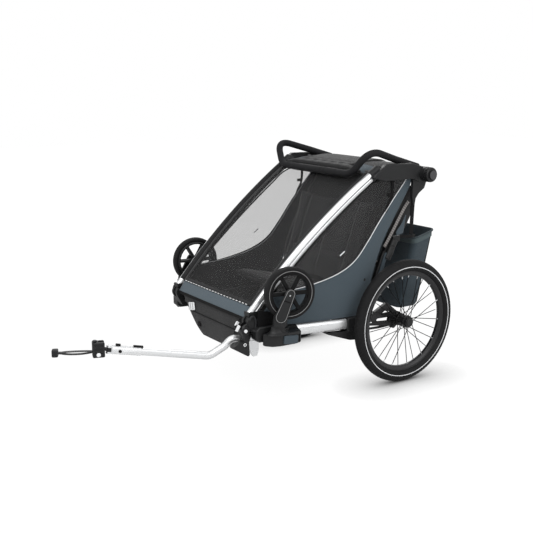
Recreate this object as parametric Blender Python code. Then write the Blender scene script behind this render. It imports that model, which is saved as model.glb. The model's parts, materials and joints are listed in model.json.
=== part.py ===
# Double bike trailer with stowed stroller wheels and a fitted tow arm.
# Metres, +Z up. The front faces -Y and the trailer's left side is +X.
# Sizes are measured from a datum under the main axle: y rearwards, z up. The ground lies just under it.
import math

import bmesh
import bpy
import numpy as np
from mathutils import Matrix, Vector

# Reach of the whole trailer before and behind the datum, which centres it on the origin
FRONT_REACH = 1.3947
REAR_REACH = 0.2525

# Main wheels
WHEEL_RADIUS = 0.2565
AXLE = (-0.013, 0.2505)
GROUND_DROP = WHEEL_RADIUS - AXLE[1]
WHEEL_PLANE_X = 0.365
TYRE_WIDTH = 0.048
TYRE_HEIGHT = 0.0490
RIM_DEPTH = 0.0165
RIM_WIDTH = 0.025
SPOKE_COUNT = 28
SPOKE_RADIUS = 0.0011
FLANGE_RADIUS = 0.026
FLANGE_OFFSET = 0.018
HUB_BARREL_RADIUS = 0.0125
HUB_INNER_END = 0.027
HUB_OUTER_END = 0.034
STUB_AXLE_RADIUS = 0.0072
STUB_AXLE_REACH = 0.058
BUTTON_RADIUS = 0.0165
BUTTON_TRAVEL = 0.004

# Running clearances
SEAT_GAP = 0.0003
TURN_GAP = 0.0004

# Side rails, oval tube, with a slight fall to the rear
RAIL_X = 0.310
RAIL_HEIGHT = 0.044
RAIL_WIDTH = 0.026
RAIL_FRONT = (-0.668, 0.290)
RAIL_REAR = (-0.215, 0.262)

# Fold pivot at the front corners, and the bowed upper tubes above it
FOLD = (-0.716, 0.338)
FOOT_TOP_Z = 0.3755
FOLD_PIN_RADIUS = 0.0065
LUG_WIDTH = 0.0190
CHEEK_WIDTH = 0.0110
CHEEK_RADIUS = 0.0205
KEEPER_REACH = 0.010
RECEIVER_PIN = (-0.7450, 0.3125)
TUBE_FOOT_X = 0.280
TUBE_FOOT_WIDTH = 0.034
TUBE_HEAD_X = 0.305
TUBE_BOTTOM = (-0.706, 0.366)
TUBE_TOP = (-0.105, 0.882)
TUBE_BOW = 0.028
TUBE_HEIGHT = 0.040
TUBE_WIDTH = 0.026
GROOVE_DEPTH = 0.0025

# Hub plates, handlebar and struts at the rear top corner
HUB_AXIS = (0.105, 0.845)
PLATE_X = 0.3085
PLATE_WIDTH = 0.0250
HUB_RADIUS = 0.031
HUB_CAP_REACH = 0.382
HUB_BUTTON_RADIUS = 0.0155
HUB_BUTTON_TRAVEL = 0.005
BAR_RADIUS = 0.0145
BAR_X = 0.290
BAR_STRAIGHT = (-0.020, 0.9075)
BAR_TOP_X = 0.320
BAR_TOP = (-0.178, 0.955)
BAR_CROSS_X = 0.238
BAR_CROSS = (-0.208, 0.855)
BAR_BEND = 0.065
STRUT_TOP = (0.062, 0.822)
STRUT_FOOT = (-0.135, 0.318)
STRUT_X = 0.2760
STRUT_WIDTH = 0.0220
STRUT_DEPTH = 0.020
STRUT_PIN_RADIUS = 0.0075
SLEEVE_SHARE = 0.42
CROSSBAR = (-0.020, 0.8740)
CROSSBAR_RADIUS = 0.010

# Suspension and rear bracket
SWING = (-0.165, 0.262)
SWING_X = 0.3060
SWING_WIDTH = 0.0160
SWING_PIN_RADIUS = 0.0085
BEAM = (-0.238, 0.262)
BEAM_RADIUS = 0.018
BRACKET_WIDTH = 0.038

# Stowed stroller wheels, upright in their brackets
STEM = (0.358, -0.632)
STEM_RADIUS = 0.0085
STEM_BOTTOM = 0.268
COLLAR_TOP_Z = 0.3310
BRACKET_BUTTON_Y = (-0.612, -0.552)
BRACKET_BUTTON_Z = (0.2575, 0.2875)
CASTER = (-0.592, 0.448)
CASTER_X = 0.3567
CASTER_RADIUS = 0.100
CASTER_WIDTH = 0.034
CASTER_RIM_RADIUS = 0.0838
CASTER_YAW_LEFT = math.radians(12)
CASTER_YAW_RIGHT = math.radians(7)
CASTER_SPOKES = 6
CASTER_PIN_RADIUS = 0.0050
LIFT_TRAVEL = 0.050

# Tow arm, from the tail behind the front corner to the hitch
ARM_RADIUS = 0.0145
ARM_TAIL = (0.246, -0.662, 0.2605)
ARM_SEAT = (0.246, -0.735, 0.265)
ARM_HUMP = (0.2405, -0.770, 0.2715)
ARM_SHOULDER = (0.232, -0.795, 0.2435)
ARM_KNEE = (0.219, -0.854, 0.211)
ARM_TIP = (0.104, -1.196, 0.266)
SLEEVE_LENGTH = 0.105
YAW_PLACE = 0.0115
PITCH_PLACE = 0.0365
YAW_PIN_RADIUS = 0.0035
PITCH_PIN_RADIUS = 0.0040
EYE_RADIUS = 0.0088
EYE_HALF_WIDTH = 0.0076
HITCH_SIZE = (0.040, 0.044, 0.056)
HITCH_SETBACK = 0.0095
HITCH_PIN_RADIUS = 0.0040
STRAP_LENGTH = 0.124
STRAP_TURN = math.radians(8)

# Cabin
COVER_THICKNESS = 0.003
PANEL_GAP = 0.0020
PANEL_X = 0.3085
TUB_BOTTOM_Z = 0.190
TUB_FLOOR_SHARE = 0.42
TUB_TOP_Z = 0.311
TUB_FRONT = -0.722
TUB_FRONT_LIP = 0.030
CROSS_TUBE = (-0.7010, 0.309)
CROSS_TUBE_RADIUS = 0.0090
TUB_REAR = -0.262
WALL_TOP = (0.000, 0.828)
WALL_FOOT = (-0.176, 0.318)
WALL_HALF_WIDTH = 0.255
ROOF_HALF_WIDTH = 0.266
ROOF_FRONT = -0.162
ROOF_REAR = 0.062
ROOF_RIDGE = (-0.030, 0.8965)
ROOF_FALL = 0.0165
ROOF_THICKNESS = 0.004
SHADE_FRONT = -0.184
SHADE_REAR = -0.035
SHADE_HALF_WIDTH = 0.248
BAG_HALF_WIDTH = 0.250
BAG_WALL = 0.003
BAG_TOP_Z = 0.590
BAG_BOTTOM_Z = 0.256
BAG_RIM_FRONT = 0.140
BAG_RIM_REAR = 0.250
BAG_FLOOR_FRONT = 0.088
BAG_FLOOR_REAR = 0.196
BAG_RIM_RISE = 0.0145

# Steps used on round shapes
TYRE_STEPS = 36
CASTER_STEPS = 26
ROUND_STEPS = 16
BAR_SIDES = 10
TUBE_SIDES = 14

for old in list(bpy.data.objects):
    bpy.data.objects.remove(old, do_unlink=True)

scene_collection = bpy.context.scene.collection


# Materials

def make_material(name, colour, roughness, metallic=0.0):
    material = bpy.data.materials.new(name)
    material.use_nodes = True
    shader = material.node_tree.nodes["Principled BSDF"]
    shader.inputs["Base Color"].default_value = (*colour, 1.0)
    shader.inputs["Roughness"].default_value = roughness
    shader.inputs["Metallic"].default_value = metallic
    material.diffuse_color = (*colour, 1.0)
    return material


SILVER = make_material("silver_tube", (0.72, 0.73, 0.74), 0.32, 1.0)
BLACK = make_material("black_plastic", (0.030, 0.031, 0.033), 0.50)
CAST = make_material("black_casting", (0.045, 0.046, 0.048), 0.42, 0.3)
RUBBER = make_material("tyre_rubber", (0.022, 0.022, 0.023), 0.80)
FOAM = make_material("grip_foam", (0.040, 0.041, 0.043), 0.75)
SLATE = make_material("slate_fabric", (0.072, 0.098, 0.118), 0.85)
MESH = make_material("black_fabric", (0.033, 0.033, 0.034), 0.88)
WINDOW = make_material("tinted_window", (0.060, 0.060, 0.061), 0.25)
SLATE_PLASTIC = make_material("slate_plastic", (0.090, 0.115, 0.135), 0.55)
GREY = make_material("light_grey", (0.55, 0.56, 0.57), 0.45)


# Placing: every mesh is built in the axle's own frame and hung on an empty at its joint

def make_empty(name, x, y, z, parent=None):
    empty = bpy.data.objects.new(name, None)
    scene_collection.objects.link(empty)
    empty.location = (x, y, z)
    if parent:
        empty.parent = parent
        empty.location = Vector((x, y, z)) - pivot_place(parent)
    empty["place"] = (x, y, z)
    return empty


def pivot_place(empty):
    return Vector(empty["place"])


AXLE_SHIFT = (FRONT_REACH - REAR_REACH) / 2
trailer = make_empty("trailer_axle_ground", 0.0, 0.0, 0.0)
trailer.location = (0.0, AXLE_SHIFT, GROUND_DROP)


def add_part(name, bm, material, pivot, sharp=35):
    bmesh.ops.recalc_face_normals(bm, faces=bm.faces)
    mesh = bpy.data.meshes.new(name)
    bm.to_mesh(mesh)
    bm.free()
    mesh.shade_smooth()
    mesh.set_sharp_from_angle(angle=math.radians(sharp))
    mesh.materials.append(material)
    part = bpy.data.objects.new(name, mesh)
    scene_collection.objects.link(part)
    part.parent = pivot
    part.location = -pivot_place(pivot)
    return part


def mirrored(bm):
    copy = bm.copy()
    bmesh.ops.scale(copy, vec=(-1, 1, 1), verts=copy.verts)
    bmesh.ops.reverse_faces(copy, faces=copy.faces)
    return copy


def add_pair(name, bm, material, pivots, sharp=35):
    other = mirrored(bm)
    add_part(name + "_left", bm, material, pivots[0], sharp)
    add_part(name + "_right", other, material, pivots[1], sharp)


def pivot_pair(name, x, y, z, parents=(None, None)):
    parents = [parent or trailer for parent in parents]
    return (make_empty(name + "_left", x, y, z, parents[0]),
            make_empty(name + "_right", -x, y, z, parents[1]))


# Shapes

def loft(rings, closed=True, caps=True):
    # Skins a list of rings of equal length, end to end, and caps the two ends
    bm = bmesh.new()
    rows = [[bm.verts.new(Vector(point)) for point in ring] for ring in rings]
    count = len(rows[0])
    spans = count if closed else count - 1
    for low, high in zip(rows, rows[1:]):
        for i in range(spans):
            j = (i + 1) % count
            bm.faces.new((low[i], low[j], high[j], high[i]))
    if caps:
        bm.faces.new(list(reversed(rows[0])))
        bm.faces.new(rows[-1])
    return bm


def ring_loft(rings):
    # Skins rings whose last one joins the first, such as a tyre
    bm = bmesh.new()
    rows = [[bm.verts.new(Vector(point)) for point in ring] for ring in rings]
    count = len(rows[0])
    for k, low in enumerate(rows):
        high = rows[(k + 1) % len(rows)]
        for i in range(count):
            j = (i + 1) % count
            bm.faces.new((low[i], low[j], high[j], high[i]))
    return bm


def turned_ring(profile, x, y, z, steps):
    # Carries a closed profile of (x, radius) points round an axis along X
    rings = []
    for k in range(steps):
        angle = 2 * math.pi * k / steps
        rings.append([(x + px, y + r * math.cos(angle), z + r * math.sin(angle)) for px, r in profile])
    return ring_loft(rings)


def turned_solid(profile, x, y, z, steps=ROUND_STEPS, turn=0.0):
    # Turns an open profile of (x, radius) points into a solid along X, with flat ends
    rings = []
    for px, r in profile:
        rings.append([(x + px, y + r * math.cos(2 * math.pi * k / steps + turn),
                       z + r * math.sin(2 * math.pi * k / steps + turn)) for k in range(steps)])
    return loft(rings)


def round_bar(x_low, x_high, radius, y, z, steps=ROUND_STEPS, turn=0.0):
    return turned_solid([(x_low, radius), (x_high, radius)], 0.0, y, z, steps, turn)


def upright_bar(x, y, z_low, z_high, radius, steps=ROUND_STEPS, top_radius=None):
    top_radius = top_radius or radius
    rings = []
    for z, r in ((z_low, radius), (z_high, top_radius)):
        rings.append([(x + r * math.cos(2 * math.pi * k / steps), y + r * math.sin(2 * math.pi * k / steps), z)
                      for k in range(steps)])
    return loft(rings)


def box(x, y, z):
    # A block between two limits on each axis
    return loft([[(x[0], y[0], level), (x[1], y[0], level), (x[1], y[1], level), (x[0], y[1], level)]
                 for level in z])


def side_prism(outline, x_low, x_high):
    # A plate whose outline of (y, z) points is seen from the side
    return loft([[(x, y, z) for y, z in outline] for x in (x_low, x_high)])


def plan_prism(outline, z_low, z_high):
    # A block whose outline of (x, y) points is seen from above
    return loft([[(x, y, z) for x, y in outline] for z in (z_low, z_high)])


def arc(centre, radius, start, stop, steps):
    # Points on an arc in degrees
    angles = np.radians(np.linspace(start, stop, steps))
    return [(centre[0] + radius * math.cos(a), centre[1] + radius * math.sin(a)) for a in angles]


def capsule(start, end, start_radius, end_radius, steps=8):
    # Outline round two circles and the straight flanks between them
    direction = math.degrees(math.atan2(end[1] - start[1], end[0] - start[0]))
    span = math.dist(start, end)
    lean = math.degrees(math.asin((start_radius - end_radius) / span))
    side = 90 - lean
    return (arc(end, end_radius, direction - side, direction + side, steps)
            + arc(start, start_radius, direction + side, direction + 360 - side, steps))


def rounded_rectangle(half_x, half_y, corner, steps=4):
    points = []
    for quarter, (sx, sy) in enumerate(((1, 1), (-1, 1), (-1, -1), (1, -1))):
        centre = (sx * (half_x - corner), sy * (half_y - corner))
        points += arc(centre, corner, 90 * quarter, 90 * quarter + 90, steps)
    return points


def oval(half_a, half_b, steps, groove=0.0):
    # A stadium-like section, with a shallow groove on its outer side when asked
    points = []
    for k in range(steps):
        angle = 2 * math.pi * k / steps
        a = half_a * math.copysign(abs(math.cos(angle)) ** 0.85, math.cos(angle))
        b = half_b * math.copysign(abs(math.sin(angle)) ** 0.85, math.sin(angle))
        if groove and abs(angle - math.pi / 2) < 0.2:
            b -= groove
        points.append((a, b))
    return points


def sweep(path, section, across=(1, 0, 0)):
    # Carries a section of (up, across) points along a path; across stays near the given direction
    path = [Vector(point) for point in path]
    reference = Vector(across)
    rings = []
    for k, point in enumerate(path):
        tangent = (path[min(k + 1, len(path) - 1)] - path[max(k - 1, 0)]).normalized()
        side = (reference - tangent * reference.dot(tangent)).normalized()
        up = tangent.cross(side).normalized()
        rings.append([point + up * a + side * b for a, b in section])
    return loft(rings)


def round_sweep(path, radius, sides):
    # Carries a circle along any path and turns it no more than the path does
    path = [Vector(point) for point in path]
    tangent = (path[1] - path[0]).normalized()
    side = tangent.orthogonal().normalized()
    rings = []
    for k, point in enumerate(path):
        ahead = (path[min(k + 1, len(path) - 1)] - path[max(k - 1, 0)]).normalized()
        side = (side - ahead * side.dot(ahead)).normalized()
        up = ahead.cross(side)
        rings.append([point + (side * math.cos(a) + up * math.sin(a)) * radius
                      for a in np.linspace(0, 2 * math.pi, sides, endpoint=False)])
    return loft(rings)


def filleted(points, radius, steps=5):
    # Rounds the inner corners of a run of straight lines
    points = [Vector(point) for point in points]
    path = [points[0]]
    for before, corner, after in zip(points, points[1:], points[2:]):
        back = (before - corner).normalized()
        on = (after - corner).normalized()
        half = back.angle(on) / 2
        reach = min(radius / math.tan(half), 0.45 * (before - corner).length, 0.49 * (after - corner).length)
        centre = corner + (back + on).normalized() * (reach / math.cos(half))
        first = corner + back * reach - centre
        last = corner + on * reach - centre
        turn = first.angle(last)
        for k in range(steps + 1):
            share = k / steps
            a = math.sin((1 - share) * turn) / math.sin(turn)
            b = math.sin(share * turn) / math.sin(turn)
            path.append(centre + first * a + last * b)
    path.append(points[-1])
    return path


def smooth_curve(points, count):
    # A Catmull-Rom curve through the points, read at equal steps of its length
    points = np.array(points, float)
    padded = np.vstack([2 * points[0] - points[1], points, 2 * points[-1] - points[-2]])
    fine = []
    for k in range(len(points) - 1):
        p0, p1, p2, p3 = padded[k:k + 4]
        for t in np.linspace(0, 1, 24, endpoint=False):
            fine.append(0.5 * (2 * p1 + (p2 - p0) * t + (2 * p0 - 5 * p1 + 4 * p2 - p3) * t ** 2
                               + (3 * p1 - p0 - 3 * p2 + p3) * t ** 3))
    fine = np.array(fine + [points[-1]])
    length = np.concatenate([[0], np.cumsum(np.linalg.norm(np.diff(fine, axis=0), axis=1))])
    places = np.linspace(0, length[-1], count)
    return np.column_stack([np.interp(places, length, fine[:, axis]) for axis in range(fine.shape[1])])


def slab(front, back):
    # A closed sheet between two grids of points with the same rows and columns
    bm = bmesh.new()
    rows, columns = front.shape[:2]
    near = [[bm.verts.new(front[i, j]) for j in range(columns)] for i in range(rows)]
    far = [[bm.verts.new(back[i, j]) for j in range(columns)] for i in range(rows)]
    for grid, flip in ((near, False), (far, True)):
        for i in range(rows - 1):
            for j in range(columns - 1):
                face = (grid[i][j], grid[i + 1][j], grid[i + 1][j + 1], grid[i][j + 1])
                bm.faces.new(reversed(face) if flip else face)
    rim = ([(0, j) for j in range(columns - 1)] + [(i, columns - 1) for i in range(rows - 1)]
           + [(rows - 1, j) for j in range(columns - 1, 0, -1)] + [(i, 0) for i in range(rows - 1, 0, -1)])
    for (i, j), (m, n) in zip(rim, rim[1:] + rim[:1]):
        bm.faces.new((near[i][j], near[m][n], far[m][n], far[i][j]))
    return bm


def combine(base, other, operation):
    # Joins or cuts two closed shapes and gives the result as a new one
    holders = []
    for bm in (base, other):
        bmesh.ops.recalc_face_normals(bm, faces=bm.faces)
        mesh = bpy.data.meshes.new("work")
        bm.to_mesh(mesh)
        bm.free()
        holder = bpy.data.objects.new("work", mesh)
        scene_collection.objects.link(holder)
        holders.append(holder)
    modifier = holders[0].modifiers.new("shape", "BOOLEAN")
    modifier.operation = operation
    modifier.object = holders[1]
    graph = bpy.context.evaluated_depsgraph_get()
    result = bmesh.new()
    result.from_mesh(holders[0].evaluated_get(graph).to_mesh())
    for holder in holders:
        mesh = holder.data
        bpy.data.objects.remove(holder, do_unlink=True)
        bpy.data.meshes.remove(mesh)
    return result


def fuse(*shapes):
    result = shapes[0]
    for shape in shapes[1:]:
        result = combine(result, shape, "UNION")
    return result


def cut(base, *cutters):
    for cutter in cutters:
        base = combine(base, cutter, "DIFFERENCE")
    return base


def round_edges(bm, width, segments=1, angle=40):
    # Bevels every edge that turns by more than the angle
    bmesh.ops.recalc_face_normals(bm, faces=bm.faces)
    sharp = [edge for edge in bm.edges if edge.calc_face_angle(0) > math.radians(angle)]
    bmesh.ops.bevel(bm, geom=sharp, offset=width, segments=segments, affect="EDGES", profile=0.6,
                    clamp_overlap=True)
    return bm


def turn_about(bm, place, angle, axis="Z"):
    matrix = Matrix.Translation(place) @ Matrix.Rotation(angle, 4, axis) @ Matrix.Translation(-Vector(place))
    bmesh.ops.transform(bm, matrix=matrix, verts=bm.verts)
    return bm


# Lines that several parts share

def tube_point(t, lift=0.0):
    # Centre of the upper tube from 0 at its foot to 1 at its head, bowed upwards, lifted square to the chord
    bottom, top = np.array(TUBE_BOTTOM), np.array(TUBE_TOP)
    chord = (top - bottom) / np.linalg.norm(top - bottom)
    normal = np.array((-chord[1], chord[0]))
    place = bottom + (top - bottom) * t + normal * (4 * TUBE_BOW * t * (1 - t) + lift)
    return np.array((TUBE_FOOT_X + (TUBE_HEAD_X - TUBE_FOOT_X) * t, place[0], place[1]))


def strut_point(t):
    top, foot = np.array(STRUT_TOP), np.array(STRUT_FOOT)
    return tuple(top + (foot - top) * t)


def rail_z(y):
    share = (y - RAIL_FRONT[0]) / (RAIL_REAR[0] - RAIL_FRONT[0])
    return RAIL_FRONT[1] + (RAIL_REAR[1] - RAIL_FRONT[1]) * share


PIPING = [(-0.606, 0.436), (-0.450, 0.449), (-0.320, 0.476), (-0.235, 0.519), (-0.170, 0.590),
          (-0.115, 0.662), (-0.044, 0.748), (0.012, 0.812)]


# Pivots

upper = make_empty("upper_frame_pivot", 0.0, *FOLD, trailer)
strut_pivot = make_empty("strut_pivot", 0.0, *STRUT_TOP, upper)
bar_pivot = make_empty("handlebar_pivot", 0.0, *HUB_AXIS, upper)
lower_pair = (trailer, trailer)
upper_pair = (upper, upper)
strut_pair = (strut_pivot, strut_pivot)
swing_pair = pivot_pair("swing_pivot", SWING_X, *SWING)
axle_pair = pivot_pair("wheel_axis", WHEEL_PLANE_X, *AXLE, swing_pair)
stem_pair = pivot_pair("stem_axis", *STEM, STEM_BOTTOM)


# Main wheels

def build_tyre():
    bed = WHEEL_RADIUS - TYRE_HEIGHT
    middle = WHEEL_RADIUS - TYRE_HEIGHT / 2
    half = TYRE_WIDTH / 2
    profile = [(-RIM_WIDTH / 2, bed)]
    profile += [(half * math.cos(a), middle + TYRE_HEIGHT / 2 * math.sin(a))
                for a in np.radians(np.linspace(205, -25, 9))]
    profile += [(RIM_WIDTH / 2, bed)]
    return turned_ring(profile, WHEEL_PLANE_X, *AXLE, TYRE_STEPS)


def build_spokes(inner_radius, outer_radius):
    # Crossed spokes, alternately from the inner and outer flange, each a thin square bar
    spokes = []
    for k in range(SPOKE_COUNT):
        rim_angle = 2 * math.pi * (k + 0.5) / SPOKE_COUNT
        flange = FLANGE_OFFSET if k % 2 else -FLANGE_OFFSET
        lean = math.radians(42) * (1 if (k // 2) % 2 else -1)
        head = 0.0024 * (1 if (k // 2) % 2 else -1)
        hub_angle = rim_angle + lean
        start = (flange + head, inner_radius * math.cos(hub_angle), inner_radius * math.sin(hub_angle))
        end = (0.25 * flange, outer_radius * math.cos(rim_angle), outer_radius * math.sin(rim_angle))
        place = Vector((WHEEL_PLANE_X, *AXLE))
        spokes.append(round_sweep([place + Vector(start), place + Vector(end)], SPOKE_RADIUS, 3))
    return spokes


def build_spoked_wheel():
    rim_top = WHEEL_RADIUS - TYRE_HEIGHT - SEAT_GAP * 2
    rim_base = rim_top - RIM_DEPTH
    half = RIM_WIDTH / 2
    rim = turned_ring([(-half, rim_top), (-half, rim_top - 0.006), (-half * 0.6, rim_base),
                       (half * 0.6, rim_base), (half, rim_top - 0.006), (half, rim_top)],
                      WHEEL_PLANE_X, *AXLE, TYRE_STEPS)
    f, r = FLANGE_OFFSET, FLANGE_RADIUS
    collar = BUTTON_RADIUS + 0.0045
    hub = turned_solid([(-STUB_AXLE_REACH, STUB_AXLE_RADIUS), (-HUB_INNER_END, STUB_AXLE_RADIUS),
                        (-HUB_INNER_END, HUB_BARREL_RADIUS + 0.002), (-f - 0.004, HUB_BARREL_RADIUS + 0.002),
                        (-f - 0.003, r), (-f + 0.003, r), (-f + 0.004, HUB_BARREL_RADIUS),
                        (f - 0.004, HUB_BARREL_RADIUS), (f - 0.003, r), (f + 0.003, r),
                        (f + 0.0035, collar), (HUB_OUTER_END, collar)],
                       WHEEL_PLANE_X, *AXLE)
    pocket_floor = HUB_OUTER_END - BUTTON_TRAVEL - 0.004
    pocket = round_bar(WHEEL_PLANE_X + pocket_floor, WHEEL_PLANE_X + HUB_OUTER_END + 0.01,
                       BUTTON_RADIUS + TURN_GAP, *AXLE)
    wheel = cut(hub, pocket)
    for spoke in build_spokes(r - 0.003, rim_base + 0.003):
        wheel = fuse(wheel, spoke)
    return fuse(wheel, rim)


def build_wheel_button():
    floor = HUB_OUTER_END - 0.004 + SEAT_GAP
    return turned_solid([(floor, BUTTON_RADIUS), (HUB_OUTER_END + 0.0015, BUTTON_RADIUS),
                         (HUB_OUTER_END + 0.0035, BUTTON_RADIUS - 0.003)],
                        WHEEL_PLANE_X, *AXLE)


def add_wheels():
    add_pair("tyre", build_tyre(), RUBBER, axle_pair, 50)
    add_pair("spoked_wheel", build_spoked_wheel(), BLACK, axle_pair)
    add_pair("wheel_button", build_wheel_button(), BLACK, axle_pair)


# Suspension: a trussed trailing arm with its leaf spring

def build_swing_arm():
    axle = AXLE
    crown = (-0.070, 0.312)
    low, high = SWING_X, SWING_X + SWING_WIDTH
    chord = side_prism(capsule(SWING, axle, 0.020, 0.030), low, high)
    front_leg = side_prism(capsule(SWING, crown, 0.0165, 0.012), low + 0.001, high - 0.001)
    rear_leg = side_prism(capsule(crown, axle, 0.012, 0.024), low + 0.001, high - 0.001)
    arm = fuse(chord, front_leg, rear_leg)
    window = side_prism(capsule((-0.100, 0.281), (-0.048, 0.285), 0.0035, 0.0035, 5), low - 0.01, high + 0.01)
    slot = side_prism(capsule((-0.118, 0.258), (-0.056, 0.254), 0.007, 0.009, 5), low - 0.01, high + 0.01)
    arm = cut(arm, window, slot)
    carrier = round_bar(0.303, WHEEL_PLANE_X - HUB_INNER_END - 0.0025, 0.027, *axle)
    lever = side_prism(capsule(axle, (-0.034, 0.222), 0.018, 0.010, 6), low + 0.002, high + 0.004)
    spring = sweep([(SWING_X + 0.008, y, 0.231 - 0.006 * math.sin(math.pi * (y + 0.20) / 0.19))
                    for y in np.linspace(-0.198, -0.012, 8)],
                   [(0.0022, 0.009), (-0.0022, 0.009), (-0.0022, -0.009), (0.0022, -0.009)])
    post = side_prism(capsule((-0.050, 0.252), (-0.050, 0.229), 0.008, 0.007, 5), low + 0.002, high - 0.002)
    arm = fuse(arm, carrier, lever, post, spring)
    bore = round_bar(0.29, 0.35, STUB_AXLE_RADIUS + TURN_GAP, *axle)
    pivot_bore = round_bar(0.29, 0.35, SWING_PIN_RADIUS + TURN_GAP, *SWING)
    return cut(arm, bore, pivot_bore)


def add_suspension():
    add_pair("swing_arm", build_swing_arm(), CAST, swing_pair)


# Lower frame

def rail_section(grow=0.0):
    return oval(RAIL_HEIGHT / 2 + grow, RAIL_WIDTH / 2 + grow, TUBE_SIDES)


def rail_path(start, stop):
    return [(RAIL_X, y, rail_z(y)) for y in (start, stop)]


def build_rail():
    return sweep(rail_path(RAIL_FRONT[0], RAIL_REAR[0]), rail_section())


def build_rear_bracket():
    half = BRACKET_WIDTH / 2
    low, high = RAIL_X - half, RAIL_X + half
    top = RAIL_REAR[1] + RAIL_HEIGHT / 2 + 0.007
    base = RAIL_REAR[1] - RAIL_HEIGHT / 2 - 0.006
    clamp = side_prism([(-0.275, base + 0.002), (-0.206, base), (-0.200, base + 0.012), (-0.200, top - 0.014),
                        (-0.212, top), (-0.275, top + 0.002), (-0.281, top - 0.006), (-0.281, base + 0.008)],
                       low, high)
    clamp = round_edges(clamp, 0.003)
    foot = side_prism([(-0.385, 0.2445), (-0.372, 0.2375), (-0.262, 0.198), (-0.228, 0.194), (-0.216, 0.201),
                       (-0.208, base + 0.010), (-0.300, base + 0.004)], low + 0.004, high - 0.008)
    cheek = side_prism(capsule(SWING, (-0.225, 0.268), 0.021, 0.024), 0.2890, SWING_X - 0.0012)
    pin = round_bar(0.2950, SWING_X + SWING_WIDTH + 0.0025, SWING_PIN_RADIUS, *SWING)
    head = round_bar(SWING_X + SWING_WIDTH + 0.0008, SWING_X + SWING_WIDTH + 0.0045, 0.0140, *SWING)
    saddle = side_prism([(-0.206, 0.226), (-0.190, 0.2055), (-0.208, 0.2020), (-0.222, 0.215)],
                        low + 0.006, high - 0.012)
    foot_y, foot_z = STRUT_FOOT
    horn = side_prism([(-0.245, 0.262), (-0.180, 0.284), (foot_y - 0.006, foot_z - 0.030),
                       (foot_y - 0.024, foot_z - 0.0095), (-0.215, 0.300), (-0.262, 0.280)],
                      STRUT_X - STRUT_WIDTH / 2, 0.2970)
    bracket = fuse(clamp, foot, cheek, pin, head, saddle, horn)
    rail_hole = sweep(rail_path(-0.32, RAIL_REAR[0] + SEAT_GAP), rail_section(SEAT_GAP))
    beam_hole = round_bar(0.20, STRUT_X + 0.004, BEAM_RADIUS + SEAT_GAP, *BEAM)
    return cut(bracket, rail_hole, beam_hole)


def lug_slot():
    # Room for the tube foot's lug between the knuckle's two cheeks
    y, z = FOLD
    half = LUG_WIDTH / 2 + TURN_GAP
    return box((TUBE_FOOT_X - half, TUBE_FOOT_X + half), (y - 0.060, y + 0.060), (z - 0.019, z + 0.060))


def build_knuckle():
    inner = TUBE_FOOT_X - LUG_WIDTH / 2 - TURN_GAP
    outer = TUBE_FOOT_X + LUG_WIDTH / 2 + TURN_GAP
    y, z = FOLD
    cheeks = side_prism(capsule((y + 0.022, z - 0.038), FOLD, 0.022, CHEEK_RADIUS, 8),
                        inner - CHEEK_WIDTH, outer + CHEEK_WIDTH)
    clevis = cut(cheeks, lug_slot())
    socket = side_prism([(y, z - 0.062), (y + 0.014, z - 0.074), (y + 0.102, z - 0.078), (y + 0.111, z - 0.070),
                         (y + 0.111, z - 0.027), (y + 0.101, z - 0.0185), (y + 0.016, z - 0.0165), (y, z - 0.028)],
                        0.2915, RAIL_X + RAIL_WIDTH / 2 + 0.007)
    socket = round_edges(socket, 0.003)
    pin = round_bar(inner - 0.004, outer + 0.004, FOLD_PIN_RADIUS, *FOLD)
    rail_hole = sweep(rail_path(RAIL_FRONT[0] - SEAT_GAP, -0.55), rail_section(SEAT_GAP))
    return cut(fuse(clevis, socket, pin), rail_hole)


def build_arm_receiver(knuckle):
    # The left knuckle also carries the tow arm: a keeper over its seat, a skid wedge and a locking pin
    y, z = FOLD
    cheek_low = TUBE_FOOT_X - LUG_WIDTH / 2 - TURN_GAP - CHEEK_WIDTH
    foot = side_prism([(-0.7960, 0.2500), (-0.7920, 0.2435), (-0.7330, 0.2075), (-0.7265, 0.2065),
                       (-0.7225, 0.2120), (-0.7280, 0.3000), (-0.7480, 0.3000), (-0.7480, 0.2650), (-0.7700, 0.2630)], 0.268, 0.294)
    boss = side_prism(capsule(RECEIVER_PIN, (y, z - 0.012), 0.0165, 0.0165, 7), 0.268, 0.2995)
    keeper = side_prism(capsule((ARM_SEAT[1] + 0.012, ARM_SEAT[2]), (y + 0.002, z - 0.034), 0.0215, 0.0140, 8),
                        ARM_SEAT[0] - KEEPER_REACH, cheek_low + CHEEK_WIDTH / 2)
    pin = round_bar(0.2610, 0.3045, 0.0060, *RECEIVER_PIN, 12)
    arm_room = round_sweep(arm_path(), ARM_RADIUS + SEAT_GAP * 2, BAR_SIDES)
    added = cut(fuse(foot, boss, keeper, pin), lug_slot())
    return cut(fuse(knuckle, added), arm_room)


def arm_path():
    return filleted([ARM_TAIL, ARM_SEAT, ARM_HUMP, ARM_SHOULDER, ARM_KNEE, ARM_TIP], 0.050, 4)


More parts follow.
